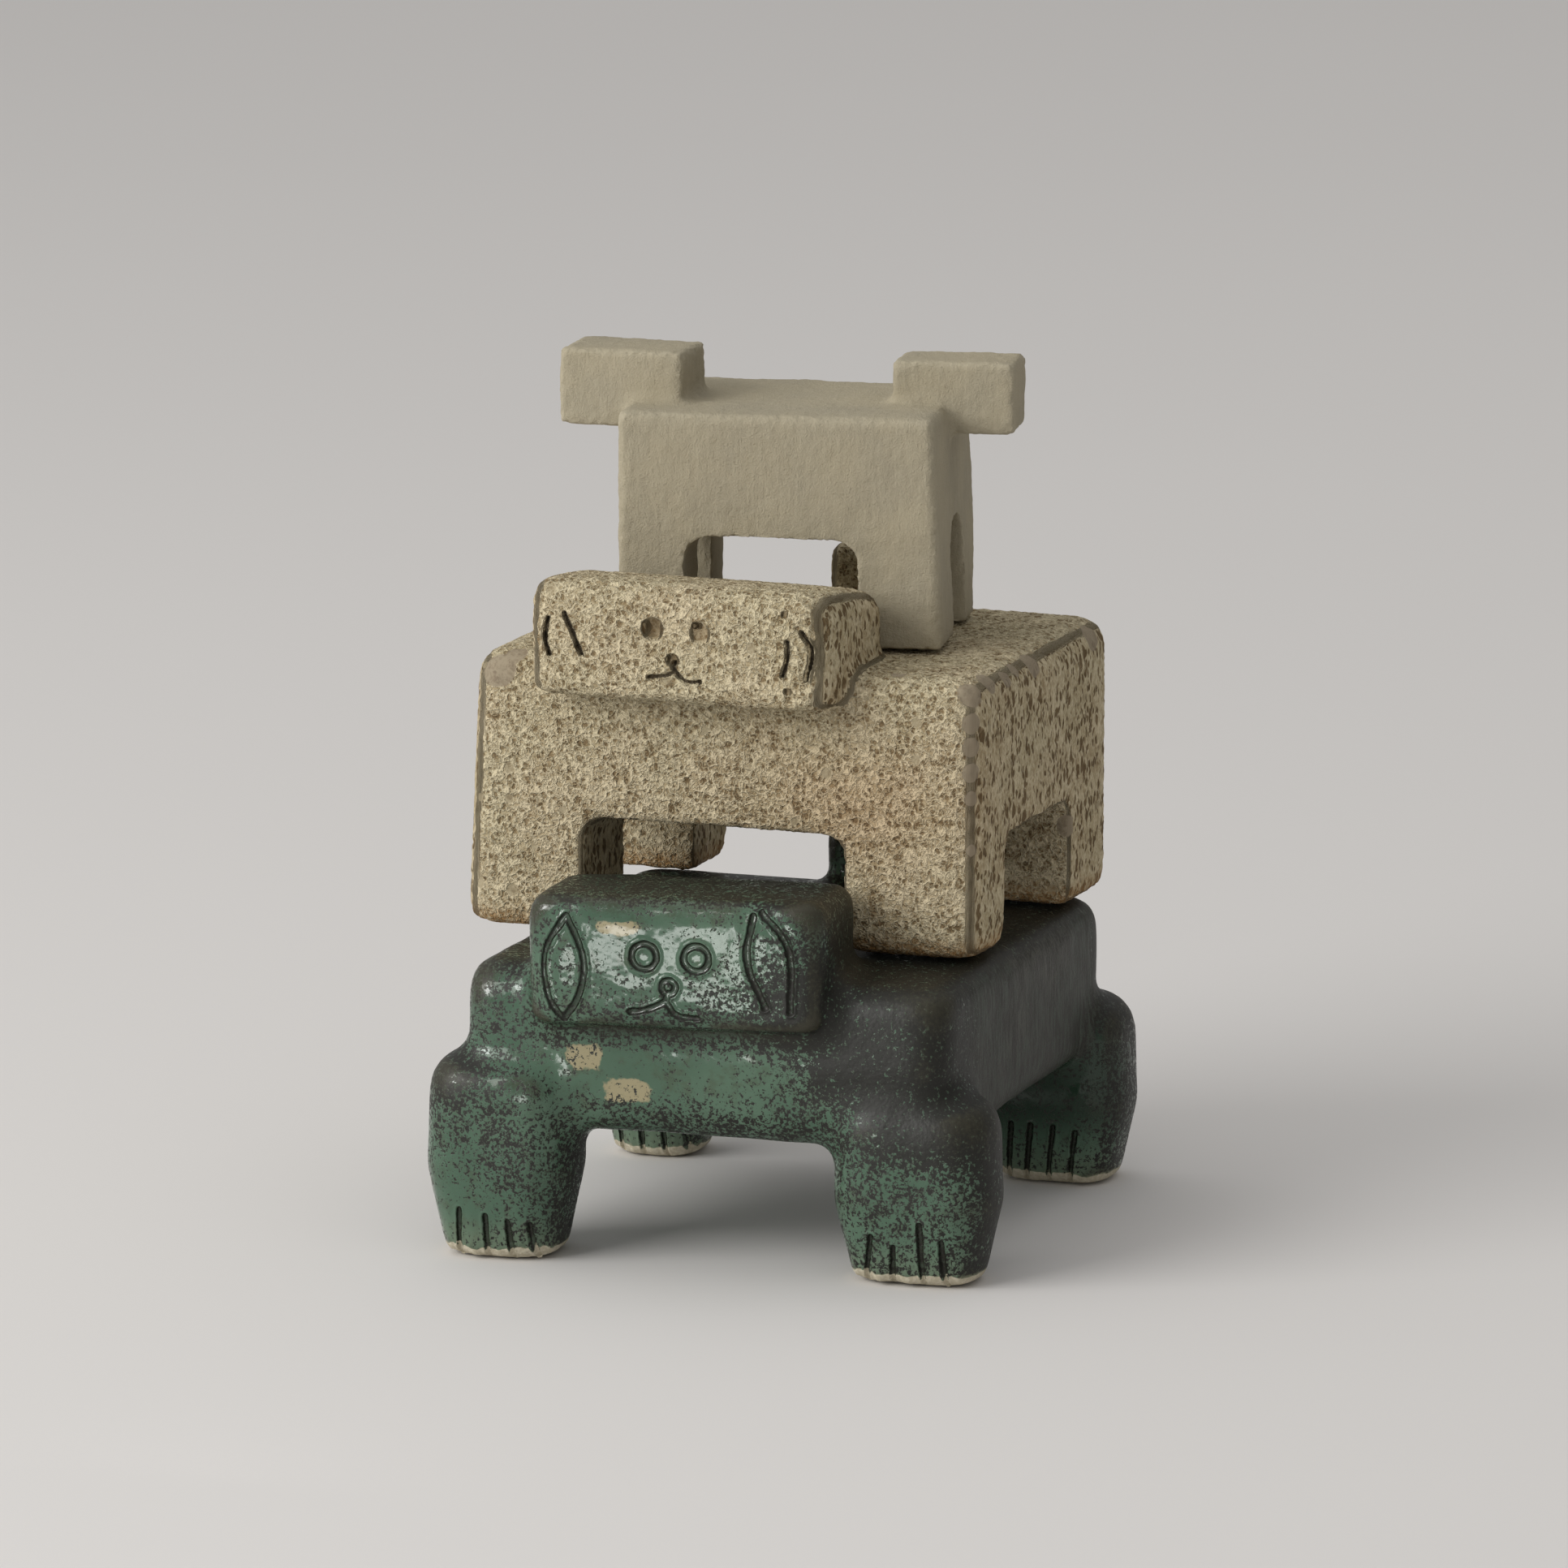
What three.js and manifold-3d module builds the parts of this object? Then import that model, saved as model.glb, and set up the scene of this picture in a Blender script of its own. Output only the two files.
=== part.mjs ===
// Three hand-built ceramic animals, standing one on another.
// Each animal is one solid: its legs, head and tail, or its side blocks, were joined to the
// body while the clay was wet. The three animals only rest on each other.
// Millimetres, +Z up. The faces look along -Y. The origin is on the floor under the middle.
import * as THREE from 'three';
import { mergeVertices } from 'three/addons/utils/BufferGeometryUtils.js';
import Module from 'manifold-3d';

const wasm = await Module();
wasm.setup();

// Where one animal rests on the next, the surfaces stay this far apart.
const REST_GAP = 0.3;

// Green dog, the lowest: a thick slab on four paws.
const GREEN = {
  width: 107,
  depth: 109,
  belly: 27.5,
  top: 63.5,
  corner: 7,
  topEdge: 6.5,
  bellyEdge: 7,
  middle: [-0.5, 4.5],
  lean: 0.03,
  chest: 2.2,
};
const GREEN_HEAD = {
  width: 65,
  depth: 32,
  height: 28.6,
  corner: 5.5,
  topEdge: 5,
  bottomEdge: 3.5,
  backDrop: 1,
  backSkew: 0,
  front: [-5.7, -58.5],
  bottom: 52.8,
  yaw: 3,
  roll: 0.8,
};
const PAW = {
  corner: 10,
  topEdge: 8,
  soleEdge: 2,
  soleInset: 4.5,
  soleRise: 20,
  widest: 18,
};
// x and y ranges of each paw where it is widest, its height, how far the shoulder leans in,
// the side it bulges to, and the middle, spacing and height of its toe grooves.
const PAWS = [
  { x: [-64, -31], y: [-57, -31], height: 44, lean: 1.2, side: -1, toes: [-46.4, 5.4, 10] },
  { x: [25, 60.8], y: [-54, -30], height: 40.5, lean: 1, side: 1, toes: [42.8, 5.8, 8] },
  { x: [-59, -31], y: [42, 68], height: 42, lean: 2, side: -1, toes: [-44.5, 5, 10] },
  { x: [28, 62], y: [44, 69], height: 41.5, lean: 2, side: 1, toes: [43, 4.9, 13] },
];
const TOE_GROOVES = 4;
const TOE_RADIUS = 0.95;

// Cream dog, in the middle: a deep block with crossing passages that leave four square legs.
const CREAM = {
  width: 117.2,
  depth: 88,
  height: 60.1,
  corner: 6.5,
  topEdge: 6,
  soleEdge: 2.5,
  middle: [-6.1, 22.5],
  yaw: -3,
  taper: 3,
};
const CREAM_LEGS = { left: 28.5, right: 30.2, front: 23.5, back: 24 };
const CREAM_ARCH = { height: 25.2, sideHeight: 24, corner: 4, sideTurn: -4 };
const CREAM_HEAD = {
  width: 68,
  depth: 30.5,
  height: 25.5,
  corner: 6,
  topEdge: 5.5,
  bottomEdge: 3,
  backDrop: 3.3,
  backSkew: 0.25,
  front: [-13.8, -33],
  bottom: 117,
  yaw: -4.5,
  roll: 0,
};

// Pale animal, on top: slab built, with a long block lying across each side of the back.
const PALE = {
  width: 69.6,
  depth: 50,
  height: 50.2,
  corner: 2.2,
  topEdge: 2.2,
  soleEdge: 1.2,
  middle: [-5, 24.8],
  yaw: 8,
  bulge: 2.2,
  taper: 2,
  footDraw: 2.5,
};
const PALE_ARCH = { from: -19.8, to: 16.8, height: 23.2, corner: 5 };
const PALE_SIDE_ARCH = { from: -6.5, to: 9.5, height: 25, corner: 7 };
const PALE_BLOCKS = [
  { x: [-54, -25.8], y: [9.5, 28.6], z: [168, 185.2], yaw: 1 },
  { x: [15.5, 42.6], y: [24, 39.5], z: [167.7, 183.8], yaw: 6.5 },
];
const PALE_BLOCK_EDGE = 1.6;

// Upright stub tails of the two dogs.
const TAIL = { width: 11, depth: 9, height: 13.5, root: 8, corner: 4, topEdge: 3.5 };
const GREEN_TAIL_AT = [-0.3, 50];
const CREAM_TAIL_AT = [-2.3, 59];

// Face marks. Each point is given across from the middle of the face and up from its bottom.
const LINE_RADIUS = 0.75;
const GREEN_EYES = [[-6.2, 16.1], [5, 16]];
const GREEN_EYE_RADIUS = 2.7;
const GREEN_NOSE = [-1.1, 9.7];
const GREEN_NOSE_RADIUS = 1.45;
const GREEN_LINES = [
  [[-23, 24.2], [-26.8, 18.5], [-28.1, 13.5], [-27, 6.5], [-24.1, 1.8]],
  [[-23, 24.2], [-20.3, 18.5], [-19.2, 13], [-20.8, 6.5], [-24.1, 1.8]],
  [[17.3, 25.4], [16, 15.8], [19.7, 6.3]],
  [[19, 26.2], [23.5, 21.6], [25.4, 15.7], [25.1, 5.5]],
  [[-9.4, 4.1], [-5.4, 4.9], [-1.8, 6.6]],
  [[-1.8, 6.6], [0.6, 3.8], [5.1, 3.3]],
  [[-1.2, 8.4], [-1.8, 6.6]],
];
const CREAM_EYES = [
  { at: [-5.1, 16], radius: 2.5, proud: 0.3 },
  { at: [5.8, 16.2], radius: 2.8, proud: 1.7 },
  { at: [-0.5, 9.9], radius: 1.6, proud: 0.3 },
];
const CREAM_LINES = [
  [[-28.8, 16.9], [-29.6, 12.9], [-28.6, 9.3]],
  [[-25, 18.2], [-22.8, 13.3], [-21.2, 9.8]],
  [[25.4, 15.5], [25.5, 12.1], [24.4, 8.2]],
  [[28.6, 17.6], [30.5, 13.8], [29.6, 7.5]],
  [[-5.9, 5.9], [-2.4, 6.4], [0, 7.3]],
  [[0, 7.3], [2.6, 5.5], [5.6, 5.6]],
  [[-0.4, 9.2], [0, 7.3]],
];

const radians = THREE.MathUtils.degToRad;

// A closed geometry as a solid that can be joined and cut.
function solid(geometry) {
  const bare = geometry.clone();
  bare.deleteAttribute('normal');
  bare.deleteAttribute('uv');
  const merged = mergeVertices(bare, 1e-4);
  return new wasm.Manifold(new wasm.Mesh({
    numProp: 3,
    vertProperties: new Float32Array(merged.attributes.position.array),
    triVerts: new Uint32Array(merged.index.array),
  }));
}

// A finished solid as a named mesh.
function figure(name, shape, colour, roughness) {
  const data = shape.getMesh();
  const geometry = new THREE.BufferGeometry();
  geometry.setAttribute('position', new THREE.BufferAttribute(data.vertProperties, 3));
  geometry.setIndex(new THREE.BufferAttribute(data.triVerts, 1));
  geometry.computeVertexNormals();
  const material = new THREE.MeshStandardMaterial({ color: colour, roughness, metalness: 0 });
  const mesh = new THREE.Mesh(geometry, material);
  mesh.name = name;
  return mesh;
}

// Where a grid line of a block lies: the two outer cells at each end make the rounded edge.
function gridLine(index, cells, size, startEdge, endEdge) {
  const soft = 1 - Math.tan(Math.PI / 8);
  if (index === 0) return 0;
  if (index === 1) return startEdge * soft;
  if (index === cells) return size;
  if (index === cells - 1) return size - endEdge * soft;
  const step = cells > 4 ? (index - 2) / (cells - 4) : 0.5;
  return startEdge + step * (size - startEdge - endEdge);
}

// Moves a point near a square edge onto the rounded edge.
function roundOff(across, along, edge) {
  const a = Math.max(0, edge - across);
  const b = Math.max(0, edge - along);
  if (a === 0 || b === 0) return [across, along];
  const reach = Math.hypot(a, b);
  return [edge - (a * edge) / reach, edge - (b * edge) / reach];
}

// A block of clay standing on z = 0 with rounded upright, top and bottom edges.
function clayBlock({ width, depth, height, corner, topEdge, bottomEdge, cells, shape }) {
  const [nx, ny, nz] = cells;
  const geometry = new THREE.BoxGeometry(nx, ny, nz, nx, ny, nz);
  const position = geometry.attributes.position;
  const halfX = width / 2;
  const halfY = depth / 2;
  for (let i = 0; i < position.count; i += 1) {
    const column = Math.round(position.getX(i) + nx / 2);
    const row = Math.round(position.getY(i) + ny / 2);
    const level = Math.round(position.getZ(i) + nz / 2);
    const x = gridLine(column, nx, width, corner, corner) - halfX;
    const y = gridLine(row, ny, depth, corner, corner) - halfY;
    const z = gridLine(level, nz, height, bottomEdge, topEdge);
    const reach = Math.max(Math.abs(x) / halfX, Math.abs(y) / halfY);
    const point = new THREE.Vector3(0, 0, z);
    if (reach > 0) {
      const gapX = halfX - Math.abs(x) / reach;
      const gapY = halfY - Math.abs(y) / reach;
      const [inX, inY] = roundOff(gapX, gapY, corner);
      const rim = new THREE.Vector2(Math.sign(x) * (halfX - inX), Math.sign(y) * (halfY - inY));
      const span = rim.length();
      const upper = level > nz / 2;
      const edge = upper ? topEdge : bottomEdge;
      const toEnd = upper ? height - z : z;
      const [inset, along] = roundOff((1 - reach) * span, toEnd, edge);
      point.z = upper ? height - along : along;
      rim.setLength(Math.max(0, span - inset));
      point.x = rim.x;
      point.y = rim.y;
    }
    if (shape) shape(point);
    position.setXYZ(i, point.x, point.y, point.z);
  }
  return geometry;
}

// Turns a geometry about Z, then moves it.
function placed(geometry, [x, y], z, yaw = 0) {
  geometry.rotateZ(radians(yaw));
  geometry.translate(x, y, z);
  return geometry;
}

// A straight passage along Y with a round-cornered ceiling; turned for one along X.
function passage({ from, to, height, corner, length, turned }) {
  const floor = -6;
  const outline = new THREE.Shape();
  outline.moveTo(from, floor);
  outline.lineTo(to, floor);
  outline.lineTo(to, height - corner);
  outline.absarc(to - corner, height - corner, corner, 0, Math.PI / 2, false);
  outline.lineTo(from + corner, height);
  outline.absarc(from + corner, height - corner, corner, Math.PI / 2, Math.PI, false);
  outline.lineTo(from, floor);
  const geometry = new THREE.ExtrudeGeometry(outline, {
    depth: length,
    bevelEnabled: false,
    curveSegments: 4,
  });
  geometry.translate(0, 0, -length / 2);
  geometry.rotateX(Math.PI / 2);
  if (turned) geometry.rotateZ(Math.PI / 2);
  return geometry;
}

// A round-ended bar between two points.
function bar(from, to, radius) {
  const along = to.clone().sub(from);
  const geometry = new THREE.CapsuleGeometry(radius, along.length(), 2, 6);
  const upright = new THREE.Vector3(0, 1, 0);
  const turn = new THREE.Quaternion().setFromUnitVectors(upright, along.clone().normalize());
  geometry.applyQuaternion(turn);
  const centre = from.clone().add(to).multiplyScalar(0.5);
  geometry.translate(centre.x, centre.y, centre.z);
  return geometry;
}

// How far the rounded edge of a face lies behind the face at this distance from its border.
function recess(toBorder, edge) {
  const over = Math.min(edge, Math.max(0, edge - toBorder));
  return edge - Math.sqrt(edge * edge - over * over);
}

// A point on the front of a head, given across and up, and how far it stands proud.
function onFace(head, across, up, proud = 0) {
  const inward = recess(head.width / 2 - Math.abs(across), head.corner)
    + recess(up, head.bottomEdge)
    + recess(head.height - up, head.topEdge);
  const point = new THREE.Vector3(across, inward - proud, up);
  point.applyAxisAngle(new THREE.Vector3(0, 1, 0), radians(-head.roll));
  point.applyAxisAngle(new THREE.Vector3(0, 0, 1), radians(head.yaw));
  return point.add(new THREE.Vector3(...head.front, head.bottom));
}

// The block of a head behind its front face. Its top falls away towards the back.
function headBlock(head) {
  const block = clayBlock({
    ...head,
    cells: [8, 6, 6],
    shape: (p) => {
      const reach = 1 + (2 * head.backSkew * p.x) / head.width;
      const back = (p.y / head.depth + 0.5) * reach;
      p.y = back * head.depth;
      p.z -= head.backDrop * back * back * (p.z / head.height);
    },
  });
  block.rotateY(radians(-head.roll));
  return solid(placed(block, head.front, head.bottom, head.yaw));
}

// A line drawn into a face with a pointed stick.
function faceLine(head, points) {
  const section = new THREE.Shape();
  section.absarc(0, 0, LINE_RADIUS, 0, Math.PI * 2, false);
  const path = points.map(([across, up]) => onFace(head, across, up));
  return solid(new THREE.ExtrudeGeometry(section, {
    steps: 2 * points.length - 1,
    curveSegments: 3,
    extrudePath: new THREE.CatmullRomCurve3(path),
    bevelEnabled: false,
  }));
}

// A ring pressed into a face with a hollow straw.
function faceRing(head, [across, up], radius) {
  const ring = new THREE.TorusGeometry(radius, LINE_RADIUS, 6, 12);
  ring.rotateX(Math.PI / 2);
  const at = onFace(head, across, up);
  return solid(placed(ring, [at.x, at.y], at.z, head.yaw));
}

// A round pit pressed into a face.
function facePit(head, { at, radius, proud }) {
  const centre = onFace(head, ...at, proud);
  const ball = new THREE.SphereGeometry(radius, 10, 6);
  return solid(placed(ball, [centre.x, centre.y], centre.z, head.yaw));
}

// A stub tail standing on the back edge.
function tail(at, top) {
  const block = clayBlock({
    ...TAIL,
    height: TAIL.height + TAIL.root,
    bottomEdge: 1,
    cells: [4, 4, 5],
  });
  return solid(placed(block, at, top - TAIL.root));
}

// A paw: drawn in towards a flat sole below, and in towards the body above.
function paw({ x, y, height, lean, side }) {
  const width = x[1] - x[0];
  const depth = y[1] - y[0];
  const block = clayBlock({
    ...PAW,
    width,
    depth,
    height,
    bottomEdge: PAW.soleEdge,
    cells: [6, 6, 6],
    shape: (p) => {
      const low = Math.max(0, 1 - p.z / PAW.soleRise);
      const high = Math.max(0, (p.z - PAW.widest) / (height - PAW.widest));
      const draw = PAW.soleInset * low * low;
      const outward = Math.max(0, (2 * side * p.x) / width);
      p.x *= 1 - (2 * draw) / width;
      p.y *= 1 - draw / depth;
      p.x -= side * lean * high * high * outward;
    },
  });
  return solid(placed(block, [(x[0] + x[1]) / 2, (y[0] + y[1]) / 2], 0));
}

// The grooves between the toes, over the front of a paw down to its sole.
function toeGrooves({ y, toes }) {
  const [middle, spacing, top] = toes;
  const grooves = [];
  for (let toe = 0; toe < TOE_GROOVES; toe += 1) {
    const x = middle + (toe - (TOE_GROOVES - 1) / 2) * spacing;
    const low = new THREE.Vector3(x, y[0] + PAW.soleInset / 2 + 0.7, 0.5);
    const high = new THREE.Vector3(x, y[0] + 0.5, top);
    grooves.push(solid(bar(low, high, TOE_RADIUS)));
  }
  return grooves;
}

function greenDog() {
  const slab = clayBlock({
    ...GREEN,
    height: GREEN.top - GREEN.belly,
    bottomEdge: GREEN.bellyEdge,
    cells: [9, 8, 6],
    shape: (p) => {
      const forward = Math.max(0, (-2 * p.y) / GREEN.depth);
      const level = p.z / (GREEN.top - GREEN.belly);
      p.x += GREEN.lean * p.y;
      p.y -= GREEN.chest * forward ** 3 * Math.sin(Math.PI * level);
    },
  });
  let dog = solid(placed(slab, GREEN.middle, GREEN.belly));
  dog = dog.add(headBlock(GREEN_HEAD)).add(tail(GREEN_TAIL_AT, GREEN.top));
  for (const each of PAWS) dog = dog.add(paw(each));
  for (const groove of PAWS.flatMap(toeGrooves)) dog = dog.subtract(groove);
  for (const eye of GREEN_EYES) dog = dog.subtract(faceRing(GREEN_HEAD, eye, GREEN_EYE_RADIUS));
  dog = dog.subtract(faceRing(GREEN_HEAD, GREEN_NOSE, GREEN_NOSE_RADIUS));
  for (const line of GREEN_LINES) dog = dog.subtract(faceLine(GREEN_HEAD, line));
  return dog;
}

function creamDog() {
  const base = GREEN.top + REST_GAP;
  const halfWidth = CREAM.width / 2;
  const halfDepth = CREAM.depth / 2;
  const block = clayBlock({
    ...CREAM,
    bottomEdge: CREAM.soleEdge,
    cells: [9, 8, 7],
    shape: (p) => {
      const left = Math.max(0, -p.x / halfWidth);
      p.x += CREAM.taper * left * (p.z / CREAM.height);
    },
  });
  const through = passage({
    from: CREAM_LEGS.left - halfWidth,
    to: halfWidth - CREAM_LEGS.right,
    height: CREAM_ARCH.height,
    corner: CREAM_ARCH.corner,
    length: CREAM.depth * 1.4,
  });
  const across = passage({
    from: CREAM_LEGS.front - halfDepth,
    to: halfDepth - CREAM_LEGS.back,
    height: CREAM_ARCH.sideHeight,
    corner: CREAM_ARCH.corner,
    length: CREAM.width * 1.4,
    turned: true,
  });
  across.rotateZ(radians(CREAM_ARCH.sideTurn));
  let dog = solid(placed(block, CREAM.middle, base, CREAM.yaw));
  for (const hole of [through, across]) {
    dog = dog.subtract(solid(placed(hole, CREAM.middle, base, CREAM.yaw)));
  }
  dog = dog.add(headBlock(CREAM_HEAD)).add(tail(CREAM_TAIL_AT, base + CREAM.height));
  for (const pit of CREAM_EYES) dog = dog.subtract(facePit(CREAM_HEAD, pit));
  for (const line of CREAM_LINES) dog = dog.subtract(faceLine(CREAM_HEAD, line));
  return dog;
}

function paleAnimal() {
  const base = GREEN.top + REST_GAP + CREAM.height + REST_GAP;
  const block = clayBlock({
    ...PALE,
    bottomEdge: PALE.soleEdge,
    cells: [7, 6, 8],
    shape: (p) => {
      const rise = p.z / PALE.height;
      const back = Math.max(0, (2 * p.y) / PALE.depth);
      const right = Math.max(0, (2 * p.x) / PALE.width);
      p.y += PALE.bulge * back * Math.sin(Math.PI * rise);
      p.y -= PALE.footDraw * back * Math.max(0, 1 - 4 * rise);
      p.x -= PALE.taper * right * (rise - 0.4);
    },
  });
  const through = passage({ ...PALE_ARCH, length: PALE.depth * 1.4 });
  const across = passage({ ...PALE_SIDE_ARCH, length: PALE.width * 1.4, turned: true });
  let animal = solid(placed(block, PALE.middle, base, PALE.yaw));
  for (const hole of [through, across]) {
    animal = animal.subtract(solid(placed(hole, PALE.middle, base, PALE.yaw)));
  }
  for (const { x, y, z, yaw } of PALE_BLOCKS) {
    const long = clayBlock({
      width: x[1] - x[0],
      depth: y[1] - y[0],
      height: z[1] - z[0],
      corner: PALE_BLOCK_EDGE,
      topEdge: PALE_BLOCK_EDGE,
      bottomEdge: PALE_BLOCK_EDGE,
      cells: [5, 5, 5],
    });
    const centre = [(x[0] + x[1]) / 2, (y[0] + y[1]) / 2];
    animal = animal.add(solid(placed(long, centre, z[0], yaw)));
  }
  return animal;
}

const stack = new THREE.Group();
stack.add(figure('green_dog', greenDog(), 0x3f5f4e, 0.3));
stack.add(figure('cream_dog', creamDog(), 0xb7a177, 0.9));
stack.add(figure('pale_animal', paleAnimal(), 0xb3aa98, 0.95));

// The origin goes on the floor under the middle of the stack.
const box = new THREE.Box3().setFromObject(stack);
const middle = box.getCenter(new THREE.Vector3());
stack.position.set(-middle.x, -middle.y, -box.min.z);

export default stack;
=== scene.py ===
"""Three hand-built ceramic animals stood one on another, dressed as fired clay.

A green glazed dog stands on the floor, a cream dog in crater glaze stands on its back, and a bare
clay animal with two side blocks stands on top. Lengths inside the tables are in millimetres.
"""

import math

import bmesh
import bpy
import numpy as np
from mathutils import Matrix, Vector
from mathutils.kdtree import KDTree


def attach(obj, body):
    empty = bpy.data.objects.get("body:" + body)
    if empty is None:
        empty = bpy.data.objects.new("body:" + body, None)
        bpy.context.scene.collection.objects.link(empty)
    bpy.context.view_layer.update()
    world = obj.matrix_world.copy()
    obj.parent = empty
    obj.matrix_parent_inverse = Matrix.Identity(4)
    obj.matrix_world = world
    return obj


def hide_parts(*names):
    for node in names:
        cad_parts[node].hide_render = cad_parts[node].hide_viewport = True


bl_info = {
    "name": "Stacked ceramic animals",
    "version": (1, 0, 0),
    "blender": (4, 5, 0),
    "location": "View3D > Sidebar > Ceramics",
    "description": "Dresses three stacked clay animals with glaze, craters and hand marks",
    "category": "Object",
}

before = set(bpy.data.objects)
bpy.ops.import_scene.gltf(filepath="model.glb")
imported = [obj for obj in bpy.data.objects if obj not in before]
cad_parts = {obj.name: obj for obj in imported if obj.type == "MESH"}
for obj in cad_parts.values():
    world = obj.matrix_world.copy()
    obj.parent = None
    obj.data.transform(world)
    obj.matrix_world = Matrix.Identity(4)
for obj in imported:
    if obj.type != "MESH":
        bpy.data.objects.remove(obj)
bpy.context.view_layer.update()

MM = 0.001
# from the place where the hand marks were measured to the middle of the stack's feet
SHIFT = np.array((2.2573, -4.6152, 0.0))

GREEN_HEAD = {"front": (-5.7, -58.5), "bottom": 52.8, "yaw": 3.0, "roll": 0.8}
CREAM_HEAD = {"front": (-13.8, -33.0), "bottom": 117.0, "yaw": -4.5, "roll": 0.0}

# marks on a face: across from its middle, up from its bottom edge
GREEN_LINES = [
    [(-23, 24.2), (-26.8, 18.5), (-28.1, 13.5), (-27, 6.5), (-24.1, 1.8)],
    [(-23, 24.2), (-20.3, 18.5), (-19.2, 13), (-20.8, 6.5), (-24.1, 1.8)],
    [(17.3, 25.4), (16, 15.8), (19.7, 6.3)],
    [(19, 26.2), (23.5, 21.6), (25.4, 15.7), (25.1, 5.5)],
    [(-9.4, 4.1), (-5.4, 4.9), (-1.8, 6.6)],
    [(-1.8, 6.6), (0.6, 3.8), (5.1, 3.3)],
    [(-1.2, 8.4), (-1.8, 6.6)],
]
GREEN_RINGS = [((-6.2, 16.1), 2.7), ((5.0, 16.0), 2.7), ((-1.1, 9.7), 1.45)]
CREAM_LINES = [
    [(-28.8, 16.9), (-29.6, 12.9), (-28.6, 9.3)],
    [(-25, 18.2), (-22.8, 13.3), (-21.2, 9.8)],
    [(25.4, 15.5), (25.5, 12.1), (24.4, 8.2)],
    [(28.6, 17.6), (30.5, 13.8), (29.6, 7.5)],
    [(-5.9, 5.9), (-2.4, 6.4), (0, 7.3)],
    [(0, 7.3), (2.6, 5.5), (5.6, 5.6)],
    [(-0.4, 9.2), (0, 7.3)],
]
# dimples of the cream face: across, up, radius, depth
CREAM_PITS = [
    (-5.1, 16.2, 2.35, 2.3),
    (5.8, 16.0, 2.2, 1.15),
    (5.0, 17.6, 0.9, 1.4),
    (-0.5, 9.9, 1.35, 1.5),
    (25.5, 5.0, 0.8, 0.8),
    (24.8, 21.3, 0.7, 0.7),
]
# toe cuts of each paw, in the frame: where each one starts, how high, and where it meets the sole
TOES = [
    (-59.5, [(-52.1, 11.3, -52.7), (-46.2, 10.4, -46.0), (-41.3, 9.3, -40.6), (-36.7, 8.9, -35.8)]),
    (-57.0, [(37.8, 11.2, 36.0), (42.7, 9.2, 42.1), (48.5, 14.4, 48.8), (53.1, 10.6, 53.6)]),
    (40.5, [(-49.6, 11.0, -49.4), (-44.4, 11.6, -44.0), (-39.3, 11.2, -39.0), (-34.5, 10.4, -34.7)]),
    (41.5, [(39.6, 13.6, 38.2), (44.1, 14.0, 42.4), (49.1, 13.8, 47.4), (54.0, 13.0, 52.1)]),
]
# smooth taupe stains of the cream dog: place in the frame and radius
STAINS = [
    ((50.2, -26.0, 121.5), 3.2),
    ((51.2, -17.3, 122.3), 3.0),
    ((52.5, -8.0, 121.5), 2.4),
    ((52.0, -1.0, 122.0), 2.0),
    ((53.1, 9.0, 121.4), 3.3),
    ((55.6, 46.0, 120.9), 3.4),
    ((50.8, -27.3, 115.0), 2.4),
    ((50.8, -27.3, 110.0), 2.4),
    ((50.8, -27.3, 104.5), 2.3),
    ((50.8, -27.3, 99.0), 1.9),
    ((50.8, -27.3, 88.0), 1.5),
    ((-55.6, -24.0, 120.0), 4.6),
    ((-52.0, -20.0, 122.0), 3.0),
    ((33.0, -22.0, 123.0), 2.0),
    ((54.5, 31.0, 82.0), 2.6),
]


# ---- node graphs ----------------------------------------------------------------------------


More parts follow.
